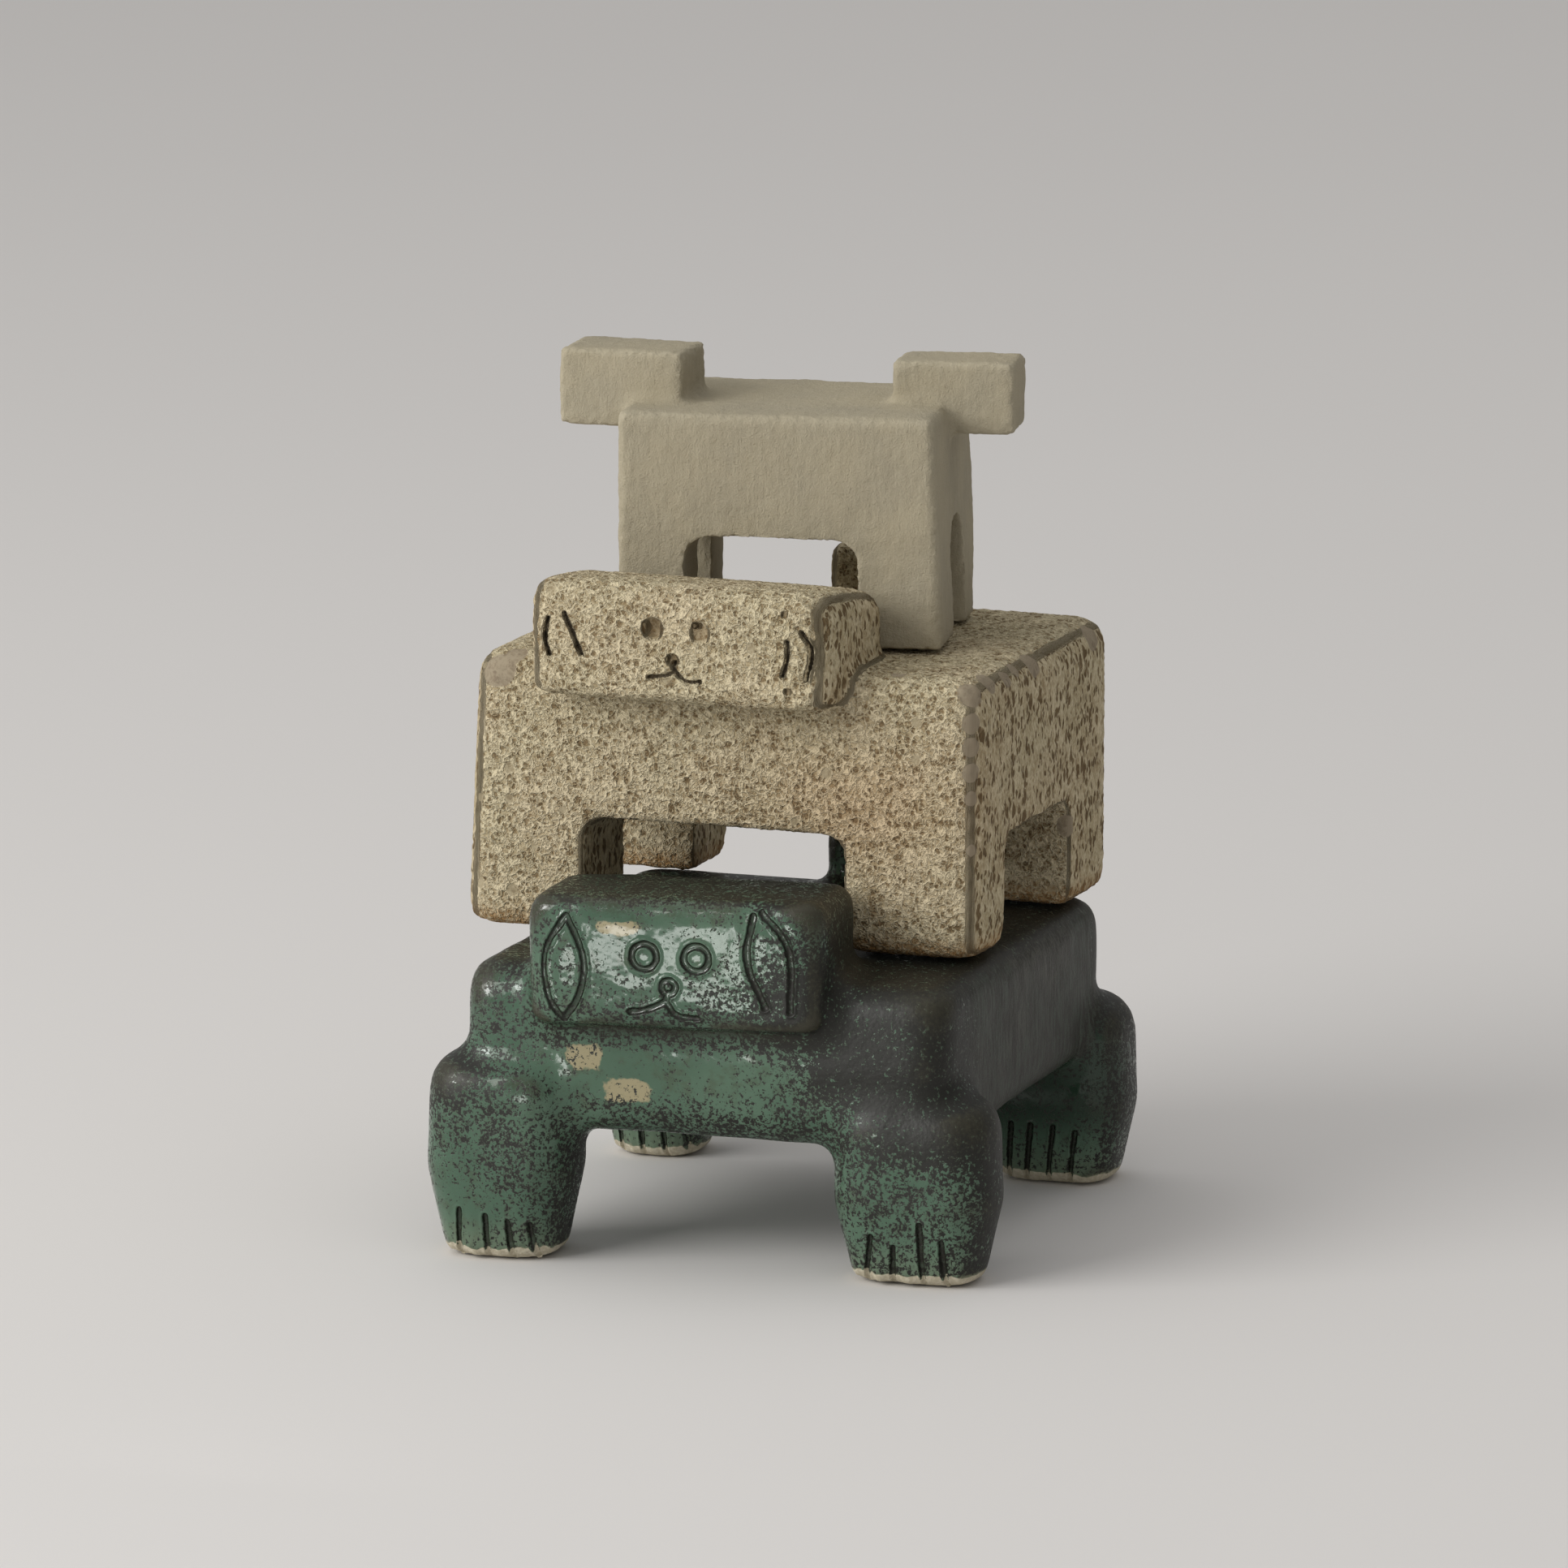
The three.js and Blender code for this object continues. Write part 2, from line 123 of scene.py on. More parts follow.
class Graph:
    """Adds nodes to a tree and joins them. Sockets and plain values are both taken as inputs."""

    def __init__(self, tree):
        self.tree = tree

    def add(self, kind, inputs=None, **settings):
        node = self.tree.nodes.new(kind)
        for name, value in settings.items():
            setattr(node, name, value)
        for key, value in (inputs or {}).items():
            self.feed(node.inputs[key], value)
        return node

    def feed(self, socket, value):
        if isinstance(value, bpy.types.NodeSocket):
            self.tree.links.new(value, socket)
        else:
            socket.default_value = value

    def math(self, operation, a, b=0.0, c=0.0, clamp=False):
        node = self.add("ShaderNodeMath", {0: a, 1: b, 2: c}, operation=operation)
        node.use_clamp = clamp
        return node.outputs[0]

    def vector(self, operation, a, b=None, scale=None):
        inputs = {0: a}
        if b is not None:
            inputs[1] = b
        if scale is not None:
            inputs["Scale"] = scale
        node = self.add("ShaderNodeVectorMath", inputs, operation=operation)
        return node.outputs["Value" if operation == "DOT_PRODUCT" else "Vector"]

    def span(self, value, low, high, to_low=0.0, to_high=1.0, kind="SMOOTHSTEP"):
        node = self.add(
            "ShaderNodeMapRange",
            {"Value": value, "From Min": low, "From Max": high, "To Min": to_low, "To Max": to_high},
            interpolation_type=kind,
        )
        return node.outputs["Result"]

    def noise(self, vector, size, detail=2.0, roughness=0.5, distortion=0.0):
        inputs = {"Vector": vector, "Scale": 1.0 / size, "Detail": detail}
        inputs.update({"Roughness": roughness, "Distortion": distortion})
        return self.add("ShaderNodeTexNoise", inputs).outputs[0]

    def swing(self, value, amount):
        """How far the value is from a half, times an amount."""
        return self.math("MULTIPLY", self.math("SUBTRACT", value, 0.5), amount)

    def ridged(self, vector, size, width, detail=1.0):
        """1 along winding crests and 0 in the hollows between them."""
        away = self.math("ABSOLUTE", self.math("SUBTRACT", self.noise(vector, size, detail), 0.5))
        return self.span(away, 0.0, width, 1.0, 0.0)

    def cells(self, vector, size, feature="F1", randomness=1.0):
        inputs = {"Vector": vector, "Scale": 1.0 / size, "Randomness": randomness}
        return self.add("ShaderNodeTexVoronoi", inputs, feature=feature)

    def stretched(self, vector, scale):
        return self.add("ShaderNodeMapping", {"Vector": vector, "Scale": scale}).outputs[0]

    def blend(self, factor, a, b, mode="MIX"):
        node = self.add("ShaderNodeMix", {0: factor, 6: a, 7: b}, data_type="RGBA", blend_type=mode)
        return node.outputs[2]

    def attribute(self, name, output="Fac"):
        return self.add("ShaderNodeAttribute", attribute_name=name).outputs[output]


def colour(values):
    """A linear colour with its alpha."""
    return (values[0], values[1], values[2], 1.0)


def new_tree(name, sockets):
    """A geometry tree with these named inputs, its graph, and the place where its mesh comes in."""
    tree = bpy.data.node_groups.new(name, "GeometryNodeTree")
    tree.interface.new_socket("Clay", in_out="INPUT", socket_type="NodeSocketGeometry")
    for label, kind, default in sockets:
        socket = tree.interface.new_socket(label, in_out="INPUT", socket_type="NodeSocket" + kind)
        if default is not None:
            socket.default_value = default
    tree.interface.new_socket("Finish", in_out="INPUT", socket_type="NodeSocketMaterial")
    tree.interface.new_socket("Clay", in_out="OUTPUT", socket_type="NodeSocketGeometry")
    graph = Graph(tree)
    return tree, graph, graph.add("NodeGroupInput").outputs


def close_tree(graph, geometry, finish):
    """Realizes the mesh, gives it its finish and sends it out."""
    real = graph.add("GeometryNodeRealizeInstances", {0: geometry}).outputs[0]
    dressed = graph.add("GeometryNodeSetMaterial", {"Geometry": real, "Material": finish}).outputs[0]
    graph.feed(graph.add("NodeGroupOutput").inputs[0], dressed)


def keep_value(graph, geometry, name, value, kind="FLOAT"):
    inputs = {"Geometry": geometry, "Name": name, "Value": value}
    node = graph.add("GeometryNodeStoreNamedAttribute", inputs, data_type=kind, domain="POINT")
    return node.outputs[0]


def pressed_lines_tree():
    """Lines pressed into a face: a groove with a raised rim on both sides of each ribbon."""
    sockets = [
        ("Ribbons", "Object", None),
        ("Facing", "Vector", (0.0, -1.0, 0.0)),
        ("Width", "Float", 1.4 * MM),
        ("Depth", "Float", 0.6 * MM),
        ("Rim", "Float", 0.2 * MM),
        ("Wobble", "Float", 0.5),
    ]
    tree, graph, given = new_tree("Pressed lines", sockets)
    ribbons = graph.add("GeometryNodeObjectInfo", {"Object": given["Ribbons"]}, transform_space="RELATIVE")
    near = graph.add("GeometryNodeProximity", {0: ribbons.outputs["Geometry"]}, target_element="FACES")
    away = graph.math("DIVIDE", near.outputs["Distance"], given["Width"])
    unsteady = graph.noise(graph.add("GeometryNodeInputPosition").outputs[0], 2.2 * MM, 2.0)
    unsteady = graph.math("MULTIPLY", graph.math("SUBTRACT", unsteady, 0.45), given["Wobble"])
    away = graph.math("ADD", away, unsteady)
    normal = graph.add("GeometryNodeInputNormal").outputs[0]
    faces_out = graph.span(graph.vector("DOT_PRODUCT", normal, given["Facing"]), 0.25, 0.6)
    groove = graph.math("MULTIPLY", graph.span(away, 0.12, 0.62, 1.0, 0.0), faces_out)
    bank = graph.math("SUBTRACT", away, 0.8)
    bank = graph.span(graph.math("ABSOLUTE", bank), 0.0, 0.45, 1.0, 0.0)
    bank = graph.math("MULTIPLY", bank, faces_out)
    lift = graph.math("MULTIPLY", bank, given["Rim"])
    lift = graph.math("SUBTRACT", lift, graph.math("MULTIPLY", groove, given["Depth"]))
    offset = graph.vector("SCALE", given["Facing"], scale=lift)
    moved = graph.add("GeometryNodeSetPosition", {"Geometry": given["Clay"], "Offset": offset}).outputs[0]
    before = graph.add("GeometryNodeInputNamedAttribute", {"Name": "line"}, data_type="FLOAT").outputs[0]
    moved = keep_value(graph, moved, "line", graph.math("MAXIMUM", before, groove))
    before = graph.add("GeometryNodeInputNamedAttribute", {"Name": "rim"}, data_type="FLOAT").outputs[0]
    moved = keep_value(graph, moved, "rim", graph.math("MAXIMUM", before, bank))
    close_tree(graph, moved, given["Finish"])
    return tree


def crater_tree():
    """Boiled glaze: pits and ridges over the whole skin, and larger burst bubbles here and there."""
    sockets = [
        ("Pit size", "Float", 2.1 * MM),
        ("Pit depth", "Float", 0.45 * MM),
        ("Burst size", "Float", 6.5 * MM),
        ("Burst depth", "Float", 0.35 * MM),
        ("Seed", "Float", 3.0),
    ]
    tree, graph, given = new_tree("Crater glaze relief", sockets)
    place = graph.add("GeometryNodeInputPosition").outputs[0]
    normal = graph.add("GeometryNodeInputNormal").outputs[0]
    moved = keep_value(graph, given["Clay"], "rest", place, "FLOAT_VECTOR")
    seeded = graph.vector("ADD", place, graph.vector("SCALE", (0.013, 0.027, 0.019), scale=given["Seed"]))
    pits = graph.cells(seeded, 1.0)
    graph.feed(pits.inputs["Scale"], graph.math("DIVIDE", 1.0, given["Pit size"]))
    pit = graph.span(pits.outputs["Distance"], 0.12, 0.62, 1.0, 0.0)
    rough = graph.noise(seeded, 1.5 * MM, 2.0, 0.6)
    rough = graph.span(rough, 0.35, 0.65, 0.55, 0.0)
    bursts = graph.cells(seeded, 1.0)
    graph.feed(bursts.inputs["Scale"], graph.math("DIVIDE", 1.0, given["Burst size"]))
    chance = graph.add("ShaderNodeSeparateXYZ", {0: bursts.outputs["Color"]}).outputs[0]
    reach = graph.span(chance, 0.45, 1.0, 0.05, 0.24, "LINEAR")
    burst = graph.math("SUBTRACT", reach, bursts.outputs["Distance"])
    burst = graph.span(burst, -0.02, 0.05)
    depth = graph.math("MULTIPLY", graph.math("ADD", pit, rough), given["Pit depth"])
    smooth_disc = graph.math("SUBTRACT", 1.0, burst)
    depth = graph.math("MULTIPLY", depth, smooth_disc)
    depth = graph.math("ADD", depth, graph.math("MULTIPLY", burst, given["Burst depth"]))
    offset = graph.vector("SCALE", normal, scale=graph.math("MULTIPLY", depth, -1.0))
    moved = graph.add("GeometryNodeSetPosition", {"Geometry": moved, "Offset": offset}).outputs[0]
    close_tree(graph, moved, given["Finish"])
    return tree


def hand_finish_tree():
    """The unevenness that a hand leaves: slow waves, and a fine grain over them."""
    sockets = [
        ("Wave size", "Float", 18.0 * MM),
        ("Wave depth", "Float", 0.5 * MM),
        ("Grain size", "Float", 2.2 * MM),
        ("Grain depth", "Float", 0.12 * MM),
        ("Edge crumble", "Float", 0.0),
        ("Seed", "Float", 1.0),
    ]
    tree, graph, given = new_tree("Hand finish", sockets)
    place = graph.add("GeometryNodeInputPosition").outputs[0]
    normal = graph.add("GeometryNodeInputNormal").outputs[0]
    seeded = graph.vector("ADD", place, graph.vector("SCALE", (0.031, 0.017, 0.023), scale=given["Seed"]))
    depth = 0.0
    for size, amount in (("Wave size", "Wave depth"), ("Grain size", "Grain depth")):
        field = graph.noise(seeded, 1.0, 1.5)
        graph.feed(field.node.inputs["Scale"], graph.math("DIVIDE", 1.0, given[size]))
        inward = graph.span(field, 0.25, 0.75, 1.0, 0.0, "LINEAR")
        depth = graph.math("ADD", depth, graph.math("MULTIPLY", inward, given[amount]))
    edge = graph.add("GeometryNodeInputNamedAttribute", {"Name": "edge"}, data_type="FLOAT").outputs[0]
    chips = graph.math("MULTIPLY", graph.span(edge, 0.05, 0.3), graph.span(graph.noise(seeded, 1.5 * MM), 0.4, 0.65))
    depth = graph.math("ADD", depth, graph.math("MULTIPLY", chips, given["Edge crumble"]))
    offset = graph.vector("SCALE", normal, scale=graph.math("MULTIPLY", depth, -1.0))
    moved = graph.add("GeometryNodeSetPosition", {"Geometry": given["Clay"], "Offset": offset}).outputs[0]
    close_tree(graph, moved, given["Finish"])
    return tree


# ---- clay meshes ----------------------------------------------------------------------------


def places_of(mesh):
    places = np.empty(len(mesh.vertices) * 3)
    mesh.vertices.foreach_get("co", places)
    return places.reshape(-1, 3)


def normals_of(mesh):
    normals = np.empty(len(mesh.vertices) * 3)
    mesh.vertex_normals.foreach_get("vector", normals)
    return normals.reshape(-1, 3)


def relaxed(mesh, places, rounds, share=None):
    """The places after that many rounds of moving each point to the middle of its neighbours."""
    pairs = np.empty(len(mesh.edges) * 2, dtype=np.int64)
    mesh.edges.foreach_get("vertices", pairs)
    pairs = pairs.reshape(-1, 2)
    here = np.concatenate([pairs[:, 0], pairs[:, 1]])
    there = np.concatenate([pairs[:, 1], pairs[:, 0]])
    count = np.bincount(here, minlength=len(places))[:, None]
    pull = 0.5 if share is None else 0.5 * share[:, None]
    for _ in range(rounds):
        middles = [np.bincount(here, places[there, axis], len(places)) for axis in range(3)]
        places = places + pull * (np.stack(middles, axis=1) / count - places)
    return places


def set_places(mesh, places):
    mesh.vertices.foreach_set("co", places.ravel())
    mesh.update()


def keep_on_points(mesh, name, values):
    attribute = mesh.attributes.get(name) or mesh.attributes.new(name, "FLOAT", "POINT")
    attribute.data.foreach_set("value", np.asarray(values, dtype=np.float32))


def smoothstep(values, low, high):
    t = np.clip((values - low) / (high - low), 0.0, 1.0)
    return t * t * (3.0 - 2.0 * t)


def made_plain(piece):
    """The evaluated shape as the piece's own mesh, with its modifiers gone."""
    seen = piece.evaluated_get(bpy.context.evaluated_depsgraph_get())
    mesh = bpy.data.meshes.new_from_object(seen)
    old = piece.data
    piece.modifiers.clear()
    piece.data = mesh
    bpy.data.meshes.remove(old)


def clay_copy(node, name, voxel):
    """A closed, even mesh of a frame node's shape, ready to be worked."""
    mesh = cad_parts[node].data.copy()
    mesh.name = name
    whole = bmesh.new()
    whole.from_mesh(mesh)
    bmesh.ops.remove_doubles(whole, verts=whole.verts, dist=1e-6)
    whole.to_mesh(mesh)
    whole.free()
    piece = bpy.data.objects.new(name, mesh)
    bpy.context.scene.collection.objects.link(piece)
    remesh = piece.modifiers.new("Even clay", "REMESH")
    remesh.mode = "VOXEL"
    remesh.voxel_size = voxel
    made_plain(piece)
    return piece


def work(piece, tree, finish, **values):
    """Runs a geometry tree over the piece and keeps the result as its mesh."""
    modifier = piece.modifiers.new(tree.name, "NODES")
    modifier.node_group = tree
    values["Finish"] = finish
    for item in tree.interface.items_tree:
        if item.in_out == "INPUT" and item.name.replace(" ", "_") in values:
            modifier[item.identifier] = values[item.name.replace(" ", "_")]
    made_plain(piece)


def soften(piece, rounds, fillet_rounds, fillet_at=0.10, spared=None):
    """Rounds the clay a little all over, then fills its inner corners as pressed clay does."""
    mesh = piece.data
    places = relaxed(mesh, places_of(mesh), rounds)
    set_places(mesh, places)
    if fillet_rounds:
        inner = np.einsum("ij,ij->i", relaxed(mesh, places, 14) - places, normals_of(mesh))
        share = smoothstep(inner / MM, 0.02, fillet_at)
        if spared is not None:
            share = share * (1.0 - spared(places / MM))
        share = relaxed(mesh, np.repeat(share[:, None], 3, axis=1), 10)[:, 0]
        share = np.clip(share * 1.6, 0.0, 1.0)
        set_places(mesh, relaxed(mesh, places, fillet_rounds, share))


def keep_edges(piece, rounds=24):
    """Stores how far each point stands out of (above 0) or lies in (below 0) its surroundings."""
    mesh = piece.data
    places = places_of(mesh)
    out = np.einsum("ij,ij->i", places - relaxed(mesh, places, rounds), normals_of(mesh))
    keep_on_points(mesh, "edge", out / MM)


def catmull_rom(points, step=0.5):
    """Points about a step apart on the smooth curve through these ones."""
    points = [np.array(p, dtype=float) for p in points]
    ends = [2 * points[0] - points[1]] + points + [2 * points[-1] - points[-2]]
    path = []
    for a, b, c, d in zip(ends, ends[1:], ends[2:], ends[3:]):
        count = max(2, int(np.linalg.norm(c - b) / step))
        for t in np.arange(count) / count:
            path.append(
                0.5 * (2 * b + (c - a) * t + (2 * a - 5 * b + 4 * c - d) * t**2
                       + (3 * b - a - 3 * c + d) * t**3)
            )
    return path + [points[-1]]


def on_face(head, across, up):
    """A mark's place on a head's front, in the frame, in millimetres."""
    turn = Matrix.Rotation(math.radians(head["yaw"]), 3, "Z")
    turn = turn @ Matrix.Rotation(math.radians(-head["roll"]), 3, "Y")
    place = turn @ Vector((across, 0.0, up))
    return np.array(place) + (*head["front"], head["bottom"]) + SHIFT


def facing_of(head):
    return Matrix.Rotation(math.radians(head["yaw"]), 3, "Z") @ Vector((0.0, -1.0, 0.0))


def face_paths(head, lines, rings):
    paths = [[on_face(head, *p) for p in catmull_rom(line)] for line in lines]
    for (across, up), radius in rings:
        turns = np.linspace(0.0, 2.0 * math.pi, 25)
        paths.append(
            [on_face(head, across + radius * math.cos(t), up + radius * math.sin(t)) for t in turns]
        )
    return paths


def ribbons(name, paths, facing, reach=7.0):
    """Thin walls along the paths and across the face, which the line tree measures from."""
    verts, faces = [], []
    for path in paths:
        start = len(verts)
        for place in path:
            verts.append((place - np.array(facing) * reach) * MM)
            verts.append((place + np.array(facing) * reach) * MM)
        for k in range(len(path) - 1):
            a = start + 2 * k
            faces.append((a, a + 1, a + 3, a + 2))
    mesh = bpy.data.meshes.new(name)
    mesh.from_pydata(verts, [], faces)
    walls = bpy.data.objects.new(name, mesh)
    bpy.context.scene.collection.objects.link(walls)
    return walls


def from_paths(places, normals, paths, facing):
    """Each point's distance in millimetres from the nearest path, seen along the facing way."""
    facing = np.array(facing)
    across = np.cross(facing, (0.0, 0.0, 1.0))
    seen = np.stack([across, (0.0, 0.0, 1.0), 0.12 * facing], axis=1)
    marks = np.concatenate([np.array(path) for path in paths])
    low, high = marks.min(axis=0) - 9.0, marks.max(axis=0) + 9.0
    mm = places / MM
    near = ((mm > low) & (mm < high)).all(axis=1) & (normals @ facing > 0.2)
    tree = KDTree(len(marks))
    for index, mark in enumerate(marks @ seen):
        tree.insert(mark, index)
    tree.balance()
    result = np.full(len(mm), 99.0)
    for index in np.flatnonzero(near):
        result[index] = tree.find(mm[index] @ seen)[2]
    return result


def refine_near(mesh, paths, facing, fill):
    """Levels what the solid has near the paths, and gives the mesh finer faces there."""
    gaps = from_paths(places_of(mesh), normals_of(mesh), paths, facing)
    set_places(mesh, relaxed(mesh, places_of(mesh), 30, 1.0 - smoothstep(gaps, fill * 0.6, fill)))
    for reach in (2.1, 1.3):
        gaps = from_paths(places_of(mesh), normals_of(mesh), paths, facing)
        corners = np.empty(len(mesh.loops), dtype=np.int32)
        mesh.loops.foreach_get("vertex_index", corners)
        starts = np.empty(len(mesh.polygons), dtype=np.int32)
        mesh.polygons.foreach_get("loop_start", starts)
        chosen = np.flatnonzero(np.minimum.reduceat(gaps[corners], starts) < reach)
        refined = bmesh.new()
        refined.from_mesh(mesh)
        refined.faces.ensure_lookup_table()
        edges = {edge for index in chosen for edge in refined.faces[index].edges}
        bmesh.ops.subdivide_edges(refined, edges=list(edges), cuts=1, use_grid_fill=True)
        many = [face for face in refined.faces if len(face.verts) > 4]
        bmesh.ops.triangulate(refined, faces=many)
        refined.to_mesh(mesh)
        refined.free()
    gaps = from_paths(places_of(mesh), normals_of(mesh), paths, facing)
    set_places(mesh, relaxed(mesh, places_of(mesh), 4, (gaps < 2.0).astype(float)))


def press_lines(piece, tree, finish, paths, facing, sizes):
    """Presses clean grooves along the paths into a mesh that is refined there."""
    walls = ribbons(piece.name + "_ribbons", paths, facing)
    width, depth, rim = sizes
    work(piece, tree, finish, Ribbons=walls, Facing=tuple(facing), Width=width, Depth=depth, Rim=rim)
    bpy.data.objects.remove(walls)


def press_pits(mesh, head, pits):
    """Dents a face with round-bottomed dimples and stores how deep each point lies in one."""
    places = places_of(mesh)
    facing = np.array(facing_of(head))
    normals = normals_of(mesh)
    across = np.cross(facing, (0.0, 0.0, 1.0))
    inside = np.zeros(len(places))
    for side, up, radius, depth in pits:
        away = places / MM - on_face(head, side, up)
        gaps = np.hypot(away @ across, away[:, 2]) / radius
        close = (np.abs(away @ facing) < 6.0) & (normals @ facing > 0.2)
        bowl = np.where(close, np.sqrt(np.clip(1.0 - gaps**2, 0.0, 1.0)), 0.0)
        lip = np.where(close, np.exp(-(((gaps - 1.25) / 0.22) ** 2)), 0.0)
        places = places + facing * (0.14 * lip - depth * bowl)[:, None] * MM
        inside = np.maximum(inside, bowl)
    set_places(mesh, places)
    keep_on_points(mesh, "pit", inside)


def stand_in_for(piece, node):
    """Makes the finished piece ride on the root body in place of its frame node."""
    piece.data.shade_smooth()
    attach(piece, "root")
    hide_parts(node)


# ---- finishes -------------------------------------------------------------------------------


def new_finish(name):
    """A bare material: its graph, its shader and the object's own coordinates."""
    material = bpy.data.materials.new(name)
    material.use_nodes = True
    material.node_tree.nodes.clear()
    graph = Graph(material.node_tree)
    shader = graph.add("ShaderNodeBsdfPrincipled")
    out = graph.add("ShaderNodeOutputMaterial")
    graph.feed(out.inputs["Surface"], shader.outputs[0])
    place = graph.add("ShaderNodeTexCoord").outputs["Object"]
    return material, graph, shader, place


def bumped(graph, height, distance, below=None, strength=1.0):
    inputs = {"Height": height, "Distance": distance, "Strength": strength}
    if below is not None:
        inputs["Normal"] = below
    return graph.add("ShaderNodeBump", inputs).outputs[0]


def green_glaze(made):
    """Sea-green glaze that breaks to dark brown specks, matt and streaked on the flank."""
    material, graph, shader, place = new_finish("green_glaze")
    # the dark-speck map also carries painted shade on upward faces and under the chin
    dark_map = graph.attribute("mottle")
    flank = graph.attribute("flank")
    deep = graph.attribute("deep")
    edge = graph.attribute("edge")
    line = graph.attribute("line")
    low = graph.attribute("low")
    bare_map = graph.attribute("bare")
    painted_glare_map = graph.attribute("beige")

    fine = graph.noise(place, made.speck_size, 3.0, 0.6)
    dust = graph.noise(place, 0.42 * made.speck_size, 2.0, 0.6)
    clumps = graph.noise(place, 3.6 * MM, 3.0, 0.6)
    slow = graph.noise(place, 24.0 * MM, 2.0, 0.5)
    grain = graph.math("ADD", graph.math("MULTIPLY", fine, 0.7), graph.math("MULTIPLY", dust, 0.3))
    limit = graph.span(graph.math("ADD", dark_map, graph.swing(clumps, 1.0)), 0.0, 1.0, 0.375, 0.615, "LINEAR")
    above = graph.math("SUBTRACT", limit, grain)
    specks = graph.span(above, -0.03, 0.022)
    cores = graph.span(above, 0.0, 0.07)

    streaks = graph.noise(graph.stretched(place, (1.0, 1.0, 0.13)), 0.85 * MM, 3.0, 0.65)
    streaks = graph.span(graph.math("ADD", streaks, graph.swing(dust, 0.35)), 0.42, 0.62)

    green = graph.blend(graph.span(slow, 0.35, 0.65), colour(made.glaze), colour(made.glaze_light))
    green = graph.blend(graph.span(clumps, 0.48, 0.72, 0.0, 0.5), green, colour(made.thin_glaze))
    green = graph.blend(graph.math("MULTIPLY", deep, 0.85), green, colour((0.016, 0.034, 0.021)))
    # painted reflection: pale beige patches stand in for the glare of the bright light on the chest and face
    beige = graph.span(graph.math("ADD", painted_glare_map, graph.swing(clumps, 1.2)), 0.45, 0.65)
    green = graph.blend(beige, green, colour((0.34, 0.30, 0.18)))
    green = graph.blend(graph.math("MULTIPLY", low, 0.55), green, colour((0.17, 0.215, 0.145)))
    glaze = graph.blend(specks, green, colour(made.specks))
    glaze = graph.blend(cores, glaze, colour(made.speck_cores))
    gunmetal = graph.blend(graph.span(slow, 0.4, 0.6), colour((0.045, 0.060, 0.043)), colour((0.060, 0.062, 0.048)))
    gunmetal = graph.blend(streaks, colour((0.016, 0.014, 0.009)), gunmetal)
    glaze = graph.blend(graph.math("MULTIPLY", flank, 0.85), glaze, gunmetal)
    worn = graph.span(graph.math("ADD", edge, graph.math("MULTIPLY", fine, 0.5)), 0.42, 0.80)
    glaze = graph.blend(graph.math("MULTIPLY", worn, 0.85), glaze, colour(made.thin_edge))
    # painted shade: inner corners, creases and grooves are darkened where shade falls in them
    crease = graph.span(graph.math("ADD", edge, graph.math("MULTIPLY", dust, 0.2)), 0.0, -0.45)
    glaze = graph.blend(graph.math("MULTIPLY", crease, 0.75), glaze, colour((0.026, 0.024, 0.014)))
    inked = graph.math("MULTIPLY", graph.span(line, 0.06, 0.40), graph.span(line, 0.72, 1.0, 0.95, 0.3))
    glaze = graph.blend(inked, glaze, colour((0.012, 0.012, 0.008)))

    ragged = graph.math("ADD", bare_map, graph.swing(clumps, 0.5))
    bare = graph.span(ragged, 0.42, 0.58)
    clay = graph.blend(graph.span(fine, 0.4, 0.65), colour((0.50, 0.45, 0.33)), colour((0.62, 0.57, 0.45)))
    glaze = graph.blend(graph.span(ragged, 0.1, 0.46, 0.0, 0.7), glaze, colour((0.24, 0.26, 0.17)))
    graph.feed(shader.inputs["Base Color"], graph.blend(bare, glaze, clay))

    rough = graph.span(specks, 0.0, 1.0, made.gloss, made.speck_gloss, "LINEAR")
    rough = graph.math("MAXIMUM", rough, graph.math("MULTIPLY", flank, 0.50))
    rough = graph.math("MAXIMUM", rough, graph.math("MULTIPLY", bare, 0.85))
    graph.feed(shader.inputs["Roughness"], rough)
    shader.inputs["Specular IOR Level"].default_value = 0.4
    peel = graph.math("MULTIPLY", graph.noise(place, 0.9 * MM, 1.0), graph.span(dark_map, 0.4, 0.9, 0.04, 0.32))
    height = graph.math("ADD", graph.math("MULTIPLY", specks, -0.12), peel)
    height = graph.math("ADD", height, graph.noise(place, 5.0 * MM, 2.0))
    graph.feed(shader.inputs["Normal"], bumped(graph, height, 0.00025))
    return material


